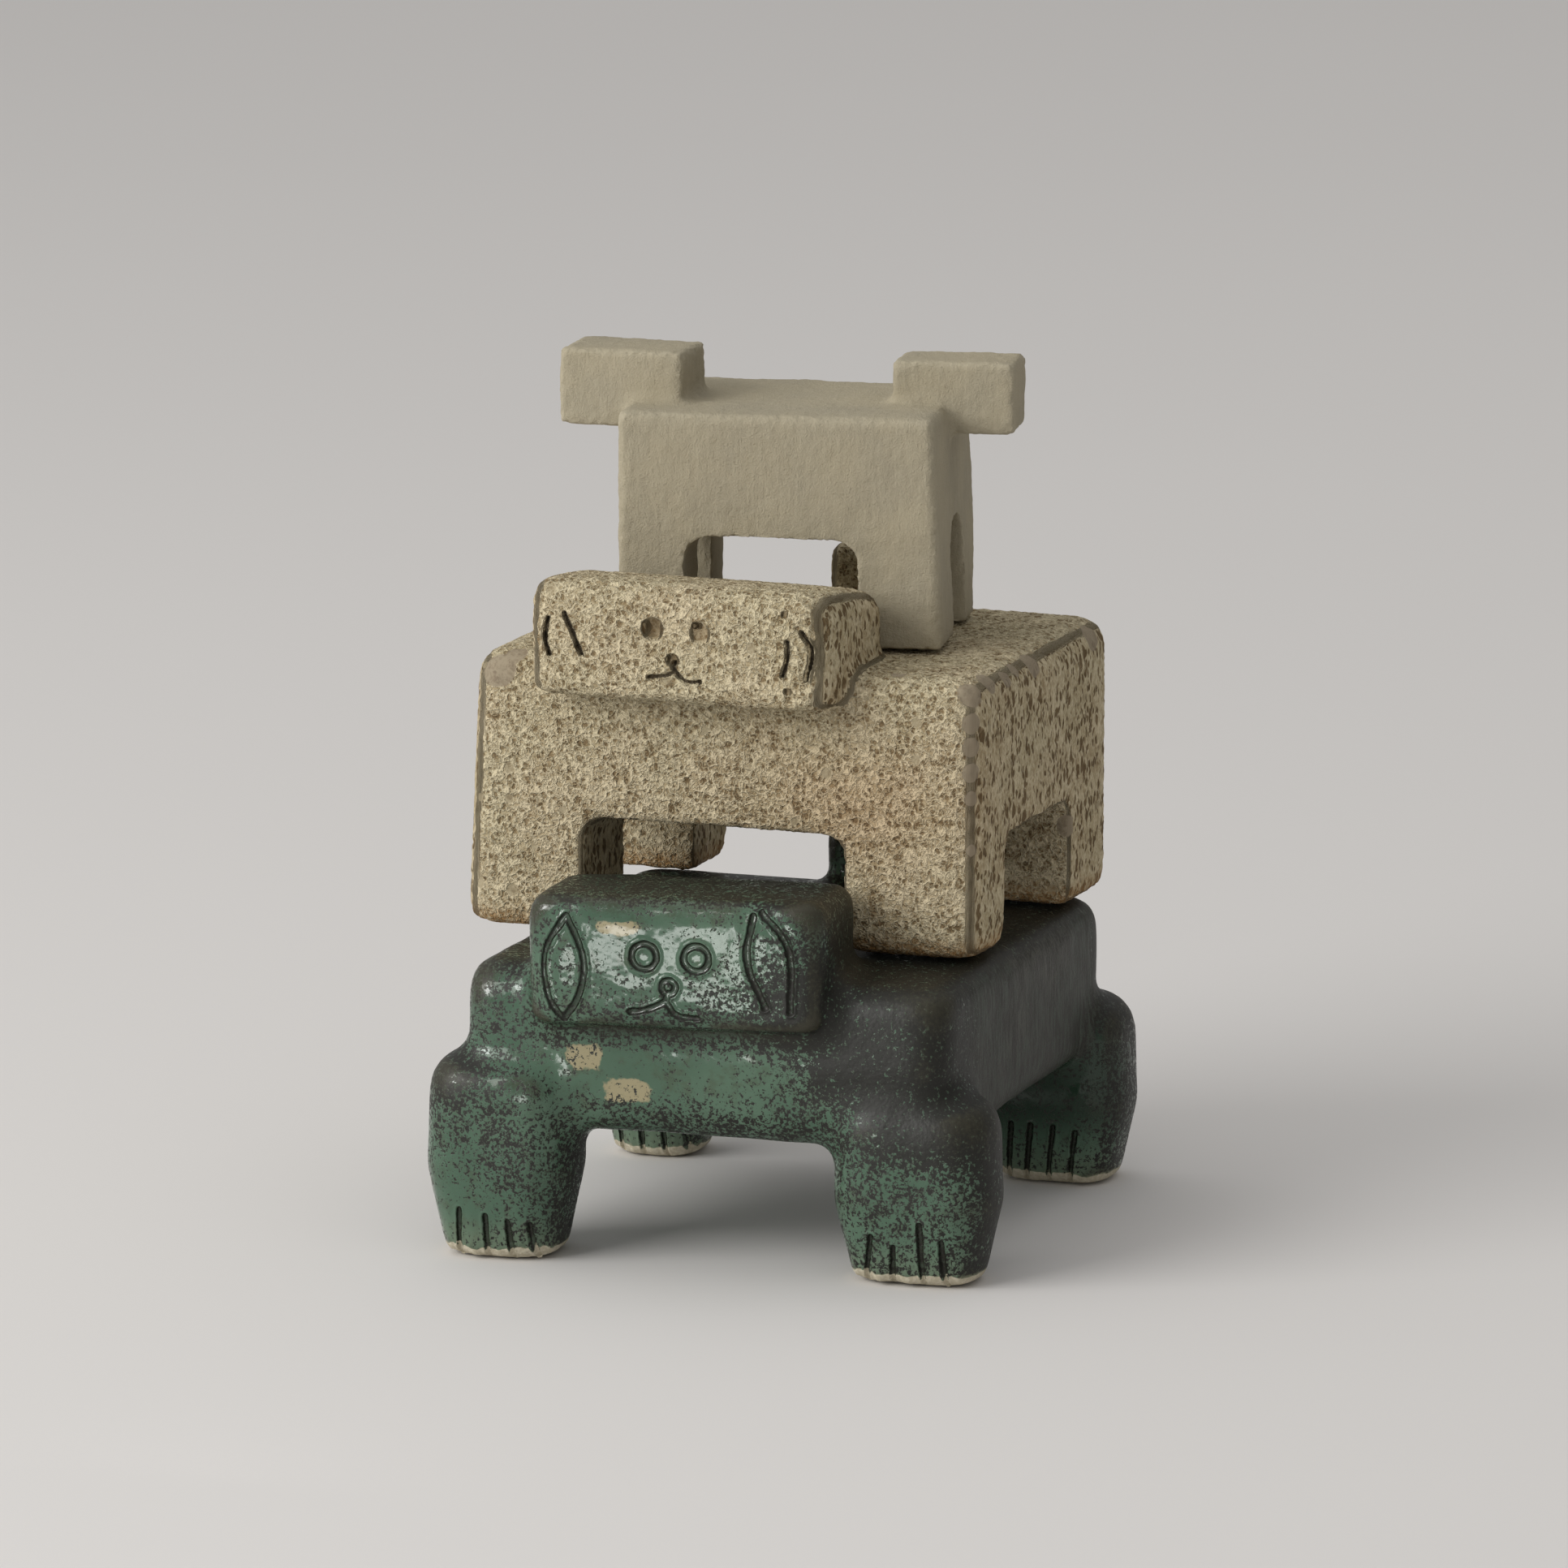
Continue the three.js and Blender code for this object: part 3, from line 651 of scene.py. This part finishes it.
def crater_glaze(made):
    """Cream boiled glaze: winding pale crests, brown pits, taupe burst bubbles and toasted feet."""
    material, graph, shader, place = new_finish("crater_glaze")
    rest = graph.attribute("rest", "Vector")
    line = graph.attribute("line")
    pit_map = graph.attribute("pit")
    side = graph.attribute("side")
    foot = graph.attribute("foot")
    blush = graph.attribute("blush")
    stain = graph.attribute("stain")

    seeded = graph.vector("ADD", rest, tuple(3.0 * v for v in (0.013, 0.027, 0.019)))
    tall = graph.stretched(seeded, (1.0, 1.0, 0.5))
    shaped = graph.add("ShaderNodeMix", {0: side, 4: seeded, 5: tall}, data_type="VECTOR").outputs[1]
    sway = graph.add("ShaderNodeTexNoise", {"Vector": shaped, "Scale": 1.0 / (1.3 * MM), "Detail": 1.0})
    sway = graph.vector("SUBTRACT", sway.outputs["Color"], (0.5, 0.5, 0.5))
    warped = graph.vector("ADD", shaped, graph.vector("SCALE", sway, scale=0.9 * MM))
    crests = graph.ridged(warped, 1.9 * made.ridge_size, 0.075)
    crests = graph.math("MAXIMUM", crests, graph.math("MULTIPLY", graph.ridged(warped, made.ridge_size, 0.09), 0.8))
    crumb = graph.noise(shaped, 0.8 * made.ridge_size, 2.0, 0.6)
    grit = graph.noise(shaped, 0.38 * made.ridge_size, 2.0, 0.6)
    slow = graph.noise(rest, 20.0 * MM, 2.0)
    drift = graph.noise(rest, 6.0 * MM, 2.0)

    hollow = None
    for size, fewest, widest in ((1.9, 0.25, 0.50), (1.15, 0.0, 0.50)):
        bubbles = graph.cells(warped, size * MM)
        chance = graph.add("ShaderNodeSeparateXYZ", {0: bubbles.outputs["Color"]}).outputs[0]
        reach = graph.span(chance, fewest, 1.0, 0.0, widest, "LINEAR")
        within = graph.math("SUBTRACT", bubbles.outputs["Distance"], reach)
        one = graph.span(within, -0.06, 0.10, 1.0, 0.0)
        hollow = one if hollow is None else graph.math("MAXIMUM", hollow, one)

    bursts = graph.cells(seeded, 6.5 * MM)
    chance = graph.add("ShaderNodeSeparateXYZ", {0: bursts.outputs["Color"]}).outputs[0]
    reach = graph.span(chance, 0.45, 1.0, 0.05, 0.24, "LINEAR")
    inside = graph.math("SUBTRACT", reach, bursts.outputs["Distance"])
    burst = graph.span(inside, -0.015, 0.035)
    ring = graph.span(graph.math("ABSOLUTE", inside), 0.0, 0.03, 1.0, 0.0)

    height = graph.math("MULTIPLY", crests, graph.span(side, 0.0, 1.0, 0.75, 0.25))
    height = graph.math("ADD", height, graph.swing(crumb, 1.1))
    height = graph.math("ADD", height, graph.swing(grit, 0.7))
    pitted = graph.math("MULTIPLY", hollow, graph.span(side, 0.0, 1.0, 0.55, 0.85))
    height = graph.math("SUBTRACT", height, pitted)

    tone = graph.span(height, -0.75, 0.75, 0.0, 1.0, "LINEAR")
    tone = graph.math("ADD", tone, graph.swing(drift, 0.5))
    ramp = graph.add("ShaderNodeValToRGB", {"Fac": tone})
    light = tuple(min(1.0, 1.12 * v) for v in made.cream)
    stops = [(0.0, made.pit), (0.24, made.ochre), (0.48, made.tan), (0.74, made.cream), (1.0, light)]
    for element, (position, value) in zip(ramp.color_ramp.elements, (stops[0], stops[-1])):
        element.position = position
        element.color = colour(value)
    for position, value in stops[1:-1]:
        ramp.color_ramp.elements.new(position).color = colour(value)
    skin = ramp.outputs[0]
    skin = graph.blend(graph.math("MULTIPLY", blush, 0.4), skin, colour((0.90, 0.66, 0.54)), "MULTIPLY")
    skin = graph.blend(graph.span(slow, 0.35, 0.65, 0.0, 0.35), skin, colour((0.90, 0.95, 0.93)), "MULTIPLY")
    skin = graph.blend(graph.math("MULTIPLY", burst, 0.7), skin, colour((0.30, 0.25, 0.16)))
    skin = graph.blend(graph.math("MULTIPLY", ring, 0.3), skin, colour((0.58, 0.50, 0.34)))
    patch = graph.span(graph.math("ADD", stain, graph.swing(drift, 0.7)), 0.38, 0.62)
    skin = graph.blend(graph.math("MULTIPLY", patch, 0.8), skin, colour((0.25, 0.205, 0.15)))
    toast = graph.math("MULTIPLY", foot, graph.span(crumb, 0.35, 0.65, 1.0, 0.35))
    skin = graph.blend(toast, skin, colour((0.34, 0.185, 0.065)))
    # painted shade: the dimples of the eyes and nose are coloured brown where they lie in shadow
    skin = graph.blend(graph.span(pit_map, 0.25, 0.85, 0.0, 0.6), skin, colour((0.17, 0.105, 0.045)))
    skin = graph.blend(graph.span(line, 0.25, 0.8, 0.0, 0.9), skin, colour((0.055, 0.038, 0.020)))
    graph.feed(shader.inputs["Base Color"], skin)
    shader.inputs["Roughness"].default_value = 0.9
    shader.inputs["Specular IOR Level"].default_value = 0.25
    calm = graph.math("MAXIMUM", patch, graph.math("MULTIPLY", burst, 0.9))
    calm = graph.math("MAXIMUM", calm, graph.math("MULTIPLY", pit_map, 0.8))
    height = graph.math("MULTIPLY", height, graph.math("SUBTRACT", 1.0, calm))
    graph.feed(shader.inputs["Normal"], bumped(graph, height, made.bump_depth))
    return material


def bare_stoneware(made):
    """Unglazed warm grey clay with fine grog, brushed smears and crumbly pale edges."""
    material, graph, shader, place = new_finish("bare_stoneware")
    edge = graph.attribute("edge")
    grog = graph.noise(place, 0.75 * MM, 3.0, 0.7)
    grain = graph.noise(place, 0.38 * MM, 3.0, 0.7)
    slow = graph.noise(place, 16.0 * MM, 3.0, 0.55)
    brushed = graph.noise(graph.stretched(place, (1.0, 1.0, 0.2)), 1.3 * MM, 3.0, 0.6)
    skin = graph.blend(graph.span(slow, 0.3, 0.7), colour(made.clay), colour(made.clay_grey))
    skin = graph.blend(graph.span(brushed, 0.35, 0.7, 0.0, 0.3), skin, colour(made.clay_light))
    skin = graph.blend(graph.span(grain, 0.55, 0.75, 0.0, 0.35), skin, colour((0.27, 0.235, 0.16)))
    skin = graph.blend(graph.span(grog, 0.64, 0.74, 0.0, 0.5), skin, colour((0.22, 0.18, 0.115)))
    worn = graph.span(graph.math("ADD", edge, graph.math("MULTIPLY", grog, 0.4)), 0.26, 0.55)
    skin = graph.blend(graph.math("MULTIPLY", worn, 0.5), skin, colour(made.clay_light))
    # painted shade: inner corners and creases of the clay are darkened where shade falls in them
    crease = graph.span(edge, -0.08, -0.5)
    skin = graph.blend(graph.math("MULTIPLY", crease, 0.5), skin, colour((0.20, 0.165, 0.105)))
    graph.feed(shader.inputs["Base Color"], skin)
    shader.inputs["Roughness"].default_value = 0.95
    shader.inputs["Specular IOR Level"].default_value = 0.2
    height = graph.math("ADD", graph.math("MULTIPLY", grog, 0.7), graph.math("MULTIPLY", grain, 0.8))
    height = graph.math("ADD", height, graph.math("MULTIPLY", brushed, 0.7))
    graph.feed(shader.inputs["Normal"], bumped(graph, height, made.grain_depth))
    return material


def floor_paper(made):
    """Pale matt paper with a trace of tooth."""
    material, graph, shader, place = new_finish("pale_floor")
    tooth = graph.noise(place, 1.5 * MM, 3.0)
    slow = graph.noise(place, 0.4, 2.0)
    tint = graph.blend(slow, colour(made.floor), colour(tuple(0.98 * v for v in made.floor)))
    graph.feed(shader.inputs["Base Color"], tint)
    shader.inputs["Roughness"].default_value = 0.95
    shader.inputs["Specular IOR Level"].default_value = 0.1
    graph.feed(shader.inputs["Normal"], bumped(graph, tooth, 0.00002))
    return material


# ---- sizes and colours that a user may change -----------------------------------------------


def length_of(name, description, millimetres):
    return bpy.props.FloatProperty(
        name=name, description=description, default=millimetres * MM, min=0.0,
        subtype="DISTANCE", unit="LENGTH", precision=5,
    )


def colour_of(name, description, values):
    return bpy.props.FloatVectorProperty(
        name=name, description=description, default=values, size=3, min=0.0, max=1.0,
        subtype="COLOR",
    )


def factor_of(name, description, value):
    return bpy.props.FloatProperty(
        name=name, description=description, default=value, min=0.0, max=1.0, subtype="FACTOR"
    )


class GreenDogSettings(bpy.types.PropertyGroup):
    line_width: length_of("Line width", "Width of the pressed lines of the face", 1.3)
    line_depth: length_of("Line depth", "Depth of the pressed lines of the face", 0.55)
    line_rim: length_of("Line rim", "Height of the clay pushed up beside a line", 0.22)
    toe_width: length_of("Toe width", "Width of the cuts between the toes", 1.1)
    toe_depth: length_of("Toe depth", "Depth of the cuts between the toes", 0.9)
    speck_size: length_of("Speck size", "Size of the dark specks in the glaze", 0.85)
    glaze: colour_of("Glaze", "Sea green where the glaze is thick", (0.066, 0.124, 0.082))
    glaze_light: colour_of("Light glaze", "Green where the glaze is milky", (0.092, 0.160, 0.108))
    thin_glaze: colour_of("Thin glaze", "Brownish green where the glaze is thin", (0.066, 0.082, 0.048))
    specks: colour_of("Specks", "Dark iron specks", (0.026, 0.033, 0.021))
    speck_cores: colour_of("Speck cores", "Darkest middles of the specks", (0.010, 0.010, 0.007))
    thin_edge: colour_of("Edges", "Brown where the glaze runs off an edge", (0.040, 0.037, 0.021))
    gloss: factor_of("Gloss", "Roughness of the clear glaze", 0.12)
    speck_gloss: factor_of("Speck gloss", "Roughness of the dark specks", 0.5)


class CreamDogSettings(bpy.types.PropertyGroup):
    line_width: length_of("Line width", "Width of the pressed lines of the face", 0.95)
    line_depth: length_of("Line depth", "Depth of the pressed lines of the face", 0.9)
    pit_size: length_of("Pit size", "Distance between the pits of the relief", 2.1)
    pit_depth: length_of("Pit depth", "Depth of the pits of the relief", 0.3)
    ridge_size: length_of("Ridge size", "Size of the fine ridges in the glaze", 1.05)
    bump_depth: length_of("Ridge depth", "Depth of the fine ridges in the glaze", 0.42)
    cream: colour_of("Cream", "The crests' cream", (0.64, 0.55, 0.375))
    tan: colour_of("Tan", "Glaze between crest and pit", (0.45, 0.365, 0.225))
    ochre: colour_of("Ochre", "Upper wall of a pit", (0.30, 0.22, 0.12))
    pit: colour_of("Pit", "Floor of a pit", (0.15, 0.10, 0.048))


class PaleAnimalSettings(bpy.types.PropertyGroup):
    grain_depth: length_of("Grain depth", "Depth of the fine grog", 0.34)
    clay: colour_of("Clay", "Warm grey clay", (0.425, 0.375, 0.268))
    clay_grey: colour_of("Grey clay", "Cooler clay in slow patches", (0.385, 0.345, 0.255))
    clay_light: colour_of("Light clay", "Paler smears and crumbly edges", (0.50, 0.45, 0.335))


class StageSettings(bpy.types.PropertyGroup):
    floor: colour_of("Floor", "Colour of the pale floor", (0.76, 0.745, 0.735))
    window_power: bpy.props.FloatProperty(
        name="Window power", description="Power of the large soft light", default=26.0, min=0.0,
        subtype="POWER", unit="POWER",
    )
    sky: bpy.props.FloatProperty(
        name="Sky", description="Strength of the even light from all round", default=0.42, min=0.0
    )


# ---- the pieces -----------------------------------------------------------------------------


def blotch(mm, centre, size, power=2.0):
    """1 at the centre of a soft ellipsoid and 0 well outside it; lengths in millimetres."""
    away = np.abs((mm - np.array(centre)) / np.array(size)) ** power
    return np.exp(-away.sum(axis=1))


class CERAMICS_OT_green_dog(bpy.types.Operator):
    """Makes the glossy green dog that carries the stack"""

    bl_idname = "ceramics.green_dog"
    bl_label = "Green glazed dog"

    def execute(self, context):
        made = context.scene.ceramic_green_dog
        finish = green_glaze(made)
        piece = clay_copy("green_dog", "green_dog_glazed", 0.98 * MM)
        soften(piece, 6, 60, spared=lambda mm: self.under_head(mm))
        lines = pressed_lines_tree()
        facing = facing_of(GREEN_HEAD)
        paths = face_paths(GREEN_HEAD, GREEN_LINES, GREEN_RINGS)
        refine_near(piece.data, paths, facing, 2.6)
        press_lines(piece, lines, finish, paths, facing, (made.line_width, made.line_depth, made.line_rim))
        cuts = [
            [np.array((low + (start - low) * z / high, front, z)) for z in np.arange(-2.0, high, 0.5)]
            for front, toes in TOES
            for start, high, low in toes
        ]
        ahead = Vector((0.0, -1.0, 0.0))
        refine_near(piece.data, cuts, ahead, 2.6)
        press_lines(piece, lines, finish, cuts, ahead, (made.toe_width, made.toe_depth, 0.12 * MM))
        hand = hand_finish_tree()
        work(piece, hand, finish, Wave_depth=0.45 * MM, Grain_depth=0.0, Seed=2.0)
        keep_edges(piece)
        self.paint(piece.data)
        stand_in_for(piece, "green_dog")
        return {"FINISHED"}

    def under_head(self, mm):
        """1 in the crease under the chin, which stays crisp."""
        return blotch(mm, (-4.0, -60.0, 53.5), (34.0, 6.0, 3.0), 4.0)

    def paint(self, mesh):
        """Stores where the glaze is dark, streaked or missing, where glare is painted as pale patches, and where
        shade is painted as extra dark specks.
        """
        mm = places_of(mesh) / MM
        normals = normals_of(mesh)
        x, y, z = mm.T
        right = smoothstep(normals[:, 0], 0.45, 0.9)
        dark = np.full(len(mm), 0.42)
        # chest and body: clearer in the middle, near black towards the right
        dark += 0.55 * smoothstep(x, 6.0, 40.0) * smoothstep(z, 30.0, 46.0) * (1.0 - smoothstep(z, 66.0, 70.0))
        dark += 0.12 * smoothstep(x, 20.0, 40.0)
        dark += 0.40 * right * smoothstep(y, -62.0, -50.0)
        # upward faces get more dark specks: partly the glaze's dark break, partly painted shade under the cream dog
        # standing on the back
        dark += 0.35 * smoothstep(normals[:, 2], 0.5, 0.9)
        dark += 0.22 * blotch(mm, (8.0, -56.0, 31.0), (34.0, 12.0, 4.0))
        # painted shade: a darker band on the chest just under the chin, where the head's lip casts shade
        dark += 0.20 * blotch(mm, (-4.0, -58.0, 49.5), (40.0, 8.0, 2.6))
        dark -= 0.46 * blotch(mm, (-8.0, -56.0, 42.5), (26.0, 12.0, 4.8), 3.0)
        # left paw: brown upper edge, clear lower left; right paw: dark top
        dark += 0.40 * blotch(mm, (-55.0, -55.0, 38.0), (9.0, 14.0, 7.0))
        dark += 0.16 * blotch(mm, (-42.0, -61.0, 22.0), (7.0, 12.0, 14.0))
        dark -= 0.38 * blotch(mm, (-52.0, -61.0, 10.0), (11.0, 14.0, 10.0))
        dark -= 0.20 * blotch(mm, (-30.0, -56.0, 34.0), (10.0, 10.0, 6.0))
        dark += 0.45 * blotch(mm, (54.0, -52.0, 36.0), (16.0, 16.0, 9.0), 3.0)
        dark -= 0.10 * blotch(mm, (44.0, -59.0, 10.0), (14.0, 10.0, 9.0))
        # face: clear above the eyes, thin and brown on the edges
        dark -= 0.34 * blotch(mm, (-6.0, -64.0, 73.0), (24.0, 8.0, 7.0), 3.0)
        dark -= 0.20 * blotch(mm, (-14.0, -64.0, 62.0), (18.0, 8.0, 7.0), 3.0)
        dark += 0.25 * blotch(mm, (22.0, -62.0, 66.0), (9.0, 8.0, 16.0), 3.0)
        dark += 0.20 * blotch(mm, (-4.0, -63.0, 56.0), (34.0, 8.0, 2.4))
        deep = smoothstep(y, 20.0, 40.0) * (1.0 - smoothstep(z, 40.0, 46.0))
        dark -= 0.25 * deep
        keep_on_points(mesh, "deep", deep * smoothstep(z, 8.0, 18.0))
        keep_on_points(mesh, "mottle", np.clip(dark, 0.0, 1.0))
        flank = smoothstep(normals[:, 0], 0.55, 0.9) * smoothstep(y, -46.0, -28.0)
        flank *= smoothstep(z, 20.0, 30.0) * (1.0 - smoothstep(x, 60.0, 62.5)) * (1.0 - smoothstep(y, 42.0, 50.0))
        keep_on_points(mesh, "flank", flank)
        # painted reflection: places of the glare patches on the upper face and the chest
        beige = blotch(mm, (-15.6, -64.0, 74.6), (5.2, 6.0, 1.8), 3.0)
        beige += blotch(mm, (-25.2, -57.0, 45.2), (4.4, 8.0, 3.0), 3.0)
        beige += blotch(mm, (-16.0, -56.5, 38.2), (6.6, 8.0, 3.0), 3.0)
        keep_on_points(mesh, "beige", np.clip(beige, 0.0, 1.0))
        keep_on_points(mesh, "low", 1.0 - smoothstep(z, 2.5, 11.0))
        under = np.clip(-normals[:, 2] - 0.22, 0.0, 0.6)
        limit = 1.5 + 10.0 * under
        keep_on_points(mesh, "bare", smoothstep(limit + 1.5 - z, 0.0, 3.0))


class CERAMICS_OT_cream_dog(bpy.types.Operator):
    """Makes the cream dog in crater glaze"""

    bl_idname = "ceramics.cream_dog"
    bl_label = "Cream crater-glazed dog"

    def execute(self, context):
        made = context.scene.ceramic_cream_dog
        finish = crater_glaze(made)
        piece = clay_copy("cream_dog", "cream_dog_crater", 0.80 * MM)
        soften(piece, 10, 24)
        self.round_feet(piece.data)
        lines = pressed_lines_tree()
        facing = facing_of(CREAM_HEAD)
        pit_rims = [((across, up), radius) for across, up, radius, _ in CREAM_PITS]
        paths = face_paths(CREAM_HEAD, CREAM_LINES, [])
        refine_near(piece.data, paths + face_paths(CREAM_HEAD, [], pit_rims), facing, 2.6)
        press_lines(piece, lines, finish, paths, facing, (made.line_width, made.line_depth, 0.1 * MM))
        press_pits(piece.data, CREAM_HEAD, CREAM_PITS)
        keep_edges(piece)
        self.paint(piece.data)
        relief = crater_tree()
        work(piece, relief, finish, Pit_size=made.pit_size, Pit_depth=made.pit_depth)
        stand_in_for(piece, "cream_dog")
        return {"FINISHED"}

    def round_feet(self, mesh):
        """Wears the lower edges of the feet round, and leaves the soles flat."""
        places = places_of(mesh)
        low = 1.0 - smoothstep(places[:, 2] / MM, 66.5, 72.0)
        set_places(mesh, relaxed(mesh, places, 30, low))

    def paint(self, mesh):
        """Stores where the glaze is toasted, blushed, rubbed or drawn out."""
        mm = places_of(mesh) / MM
        normals = normals_of(mesh)
        x, y, z = mm.T
        keep_on_points(mesh, "side", smoothstep(np.abs(normals[:, 0]), 0.5, 0.8))
        keep_on_points(mesh, "foot", 1.0 - smoothstep(z, 64.5, 70.5))
        keep_on_points(mesh, "blush", blotch(mm, (26.0, -28.0, 96.0), (22.0, 20.0, 14.0)))
        stained = np.zeros(len(mm))
        for middle, radius in STAINS:
            away = np.linalg.norm(mm - np.array(middle), axis=1)
            stained = np.maximum(stained, 1.0 - smoothstep(away, 0.55 * radius, 1.35 * radius))
        keep_on_points(mesh, "stain", stained)


class CERAMICS_OT_pale_animal(bpy.types.Operator):
    """Makes the bare clay animal with the two side blocks"""

    bl_idname = "ceramics.pale_animal"
    bl_label = "Bare clay animal"

    def execute(self, context):
        made = context.scene.ceramic_pale_animal
        finish = bare_stoneware(made)
        piece = clay_copy("pale_animal", "pale_animal_clay", 0.60 * MM)
        soften(piece, 1, 24)
        keep_edges(piece, 16)
        hand = hand_finish_tree()
        work(piece, hand, finish, Wave_size=14.0 * MM, Wave_depth=0.5 * MM, Grain_size=1.9 * MM,
             Grain_depth=0.2 * MM, Edge_crumble=0.35 * MM, Seed=5.0)
        stand_in_for(piece, "pale_animal")
        return {"FINISHED"}


class CERAMICS_OT_stage(bpy.types.Operator):
    """Makes the pale floor, the soft light and the camera"""

    bl_idname = "ceramics.stage"
    bl_label = "Floor, light and camera"

    def execute(self, context):
        made = context.scene.ceramic_stage
        mesh = bpy.data.meshes.new("floor")
        reach = 9.0
        mesh.from_pydata(
            [(-reach, -reach, 0), (reach, -reach, 0), (reach, reach, 0), (-reach, reach, 0)], [], [(0, 1, 2, 3)]
        )
        mesh.materials.append(floor_paper(made))
        floor = bpy.data.objects.new("floor", mesh)
        context.scene.collection.objects.link(floor)

        window = (-1.25, -1.35, 0.95)
        self.lamp("window", window, 1.5, 1.1, made.window_power, (1.0, 0.985, 0.955))
        self.lamp("ceiling", (-0.2, 0.2, 2.2), 1.8, 1.8, 0.2 * made.window_power, (1.0, 0.99, 0.98))
        # two bright cards that only show as reflections in the glaze
        pane = self.lamp("pane", (-0.95, -1.05, 0.62), 0.34, 0.40, 5.5, (1.0, 1.0, 1.0))
        card = self.lamp("card", (-0.042, -0.25, 0.030), 0.060, 0.024, 0.045, (1.0, 1.0, 0.97))
        card.rotation_euler = (math.radians(90.0), 0.0, 0.0)
        for lamp in (pane, card):
            lamp.visible_diffuse = False
            lamp.visible_camera = False
        world = bpy.data.worlds.new("studio")
        world.use_nodes = True
        graph = Graph(world.node_tree)
        way = graph.add("ShaderNodeTexCoord").outputs["Generated"]
        lit = graph.vector("DOT_PRODUCT", way, (-0.62, -0.25, 0.74))
        back = world.node_tree.nodes["Background"]
        back.inputs["Color"].default_value = (1.0, 0.985, 0.965, 1.0)
        graph.feed(back.inputs["Strength"], graph.span(lit, -1.0, 1.0, 0.25 * made.sky, 1.5 * made.sky, "LINEAR"))
        context.scene.world = world
        context.scene.view_settings.view_transform = "Standard"
        self.camera(context.scene)
        return {"FINISHED"}

    def lamp(self, name, place, width, height, power, tint):
        light = bpy.data.lights.new(name, "AREA")
        light.shape = "RECTANGLE"
        light.size = width
        light.size_y = height
        light.energy = power
        light.color = tint
        lamp = bpy.data.objects.new(name, light)
        lamp.location = place
        lamp.rotation_euler = (Vector(place) - Vector((0, 0, 0.09))).to_track_quat("Z", "Y").to_euler()
        bpy.context.scene.collection.objects.link(lamp)
        return lamp

    def camera(self, scene):
        """A long lens from the front right, a little above the stack."""
        turn, rise = math.radians(17.5), math.radians(11.4)
        back = Vector((math.sin(turn) * math.cos(rise), -math.cos(turn) * math.cos(rise), math.sin(rise)))
        lens = bpy.data.cameras.new("camera")
        lens.sensor_width = 36.0
        lens.lens = 260.87
        lens.clip_end = 50.0
        camera = bpy.data.objects.new("camera", lens)
        camera.location = Vector((2.257, -4.615, 95.0)) * MM + back * 2.4138
        camera.rotation_euler = back.to_track_quat("Z", "Y").to_euler()
        scene.collection.objects.link(camera)
        scene.camera = camera


class CERAMICS_PT_panel(bpy.types.Panel):
    """Lists the pieces of the stack"""

    bl_label = "Stacked ceramic animals"
    bl_idname = "CERAMICS_PT_panel"
    bl_space_type = "VIEW_3D"
    bl_region_type = "UI"
    bl_category = "Ceramics"

    def draw(self, context):
        for operator, settings in PIECES:
            box = self.layout.box()
            box.operator(operator.bl_idname)
            group = getattr(context.scene, settings)
            for name in group.__annotations__:
                box.prop(group, name)


PIECES = [
    (CERAMICS_OT_green_dog, "ceramic_green_dog"),
    (CERAMICS_OT_cream_dog, "ceramic_cream_dog"),
    (CERAMICS_OT_pale_animal, "ceramic_pale_animal"),
    (CERAMICS_OT_stage, "ceramic_stage"),
]
SETTINGS = {
    "ceramic_green_dog": GreenDogSettings,
    "ceramic_cream_dog": CreamDogSettings,
    "ceramic_pale_animal": PaleAnimalSettings,
    "ceramic_stage": StageSettings,
}
CLASSES = [*SETTINGS.values(), *[operator for operator, _ in PIECES], CERAMICS_PT_panel]


def register():
    for one in CLASSES:
        bpy.utils.register_class(one)
    for name, group in SETTINGS.items():
        setattr(bpy.types.Scene, name, bpy.props.PointerProperty(type=group))


def unregister():
    for name in SETTINGS:
        delattr(bpy.types.Scene, name)
    for one in reversed(CLASSES):
        bpy.utils.unregister_class(one)


def main():
    register()
    bpy.ops.ceramics.stage()
    bpy.ops.ceramics.green_dog()
    bpy.ops.ceramics.cream_dog()
    bpy.ops.ceramics.pale_animal()


if __name__ == "__main__":
    main()
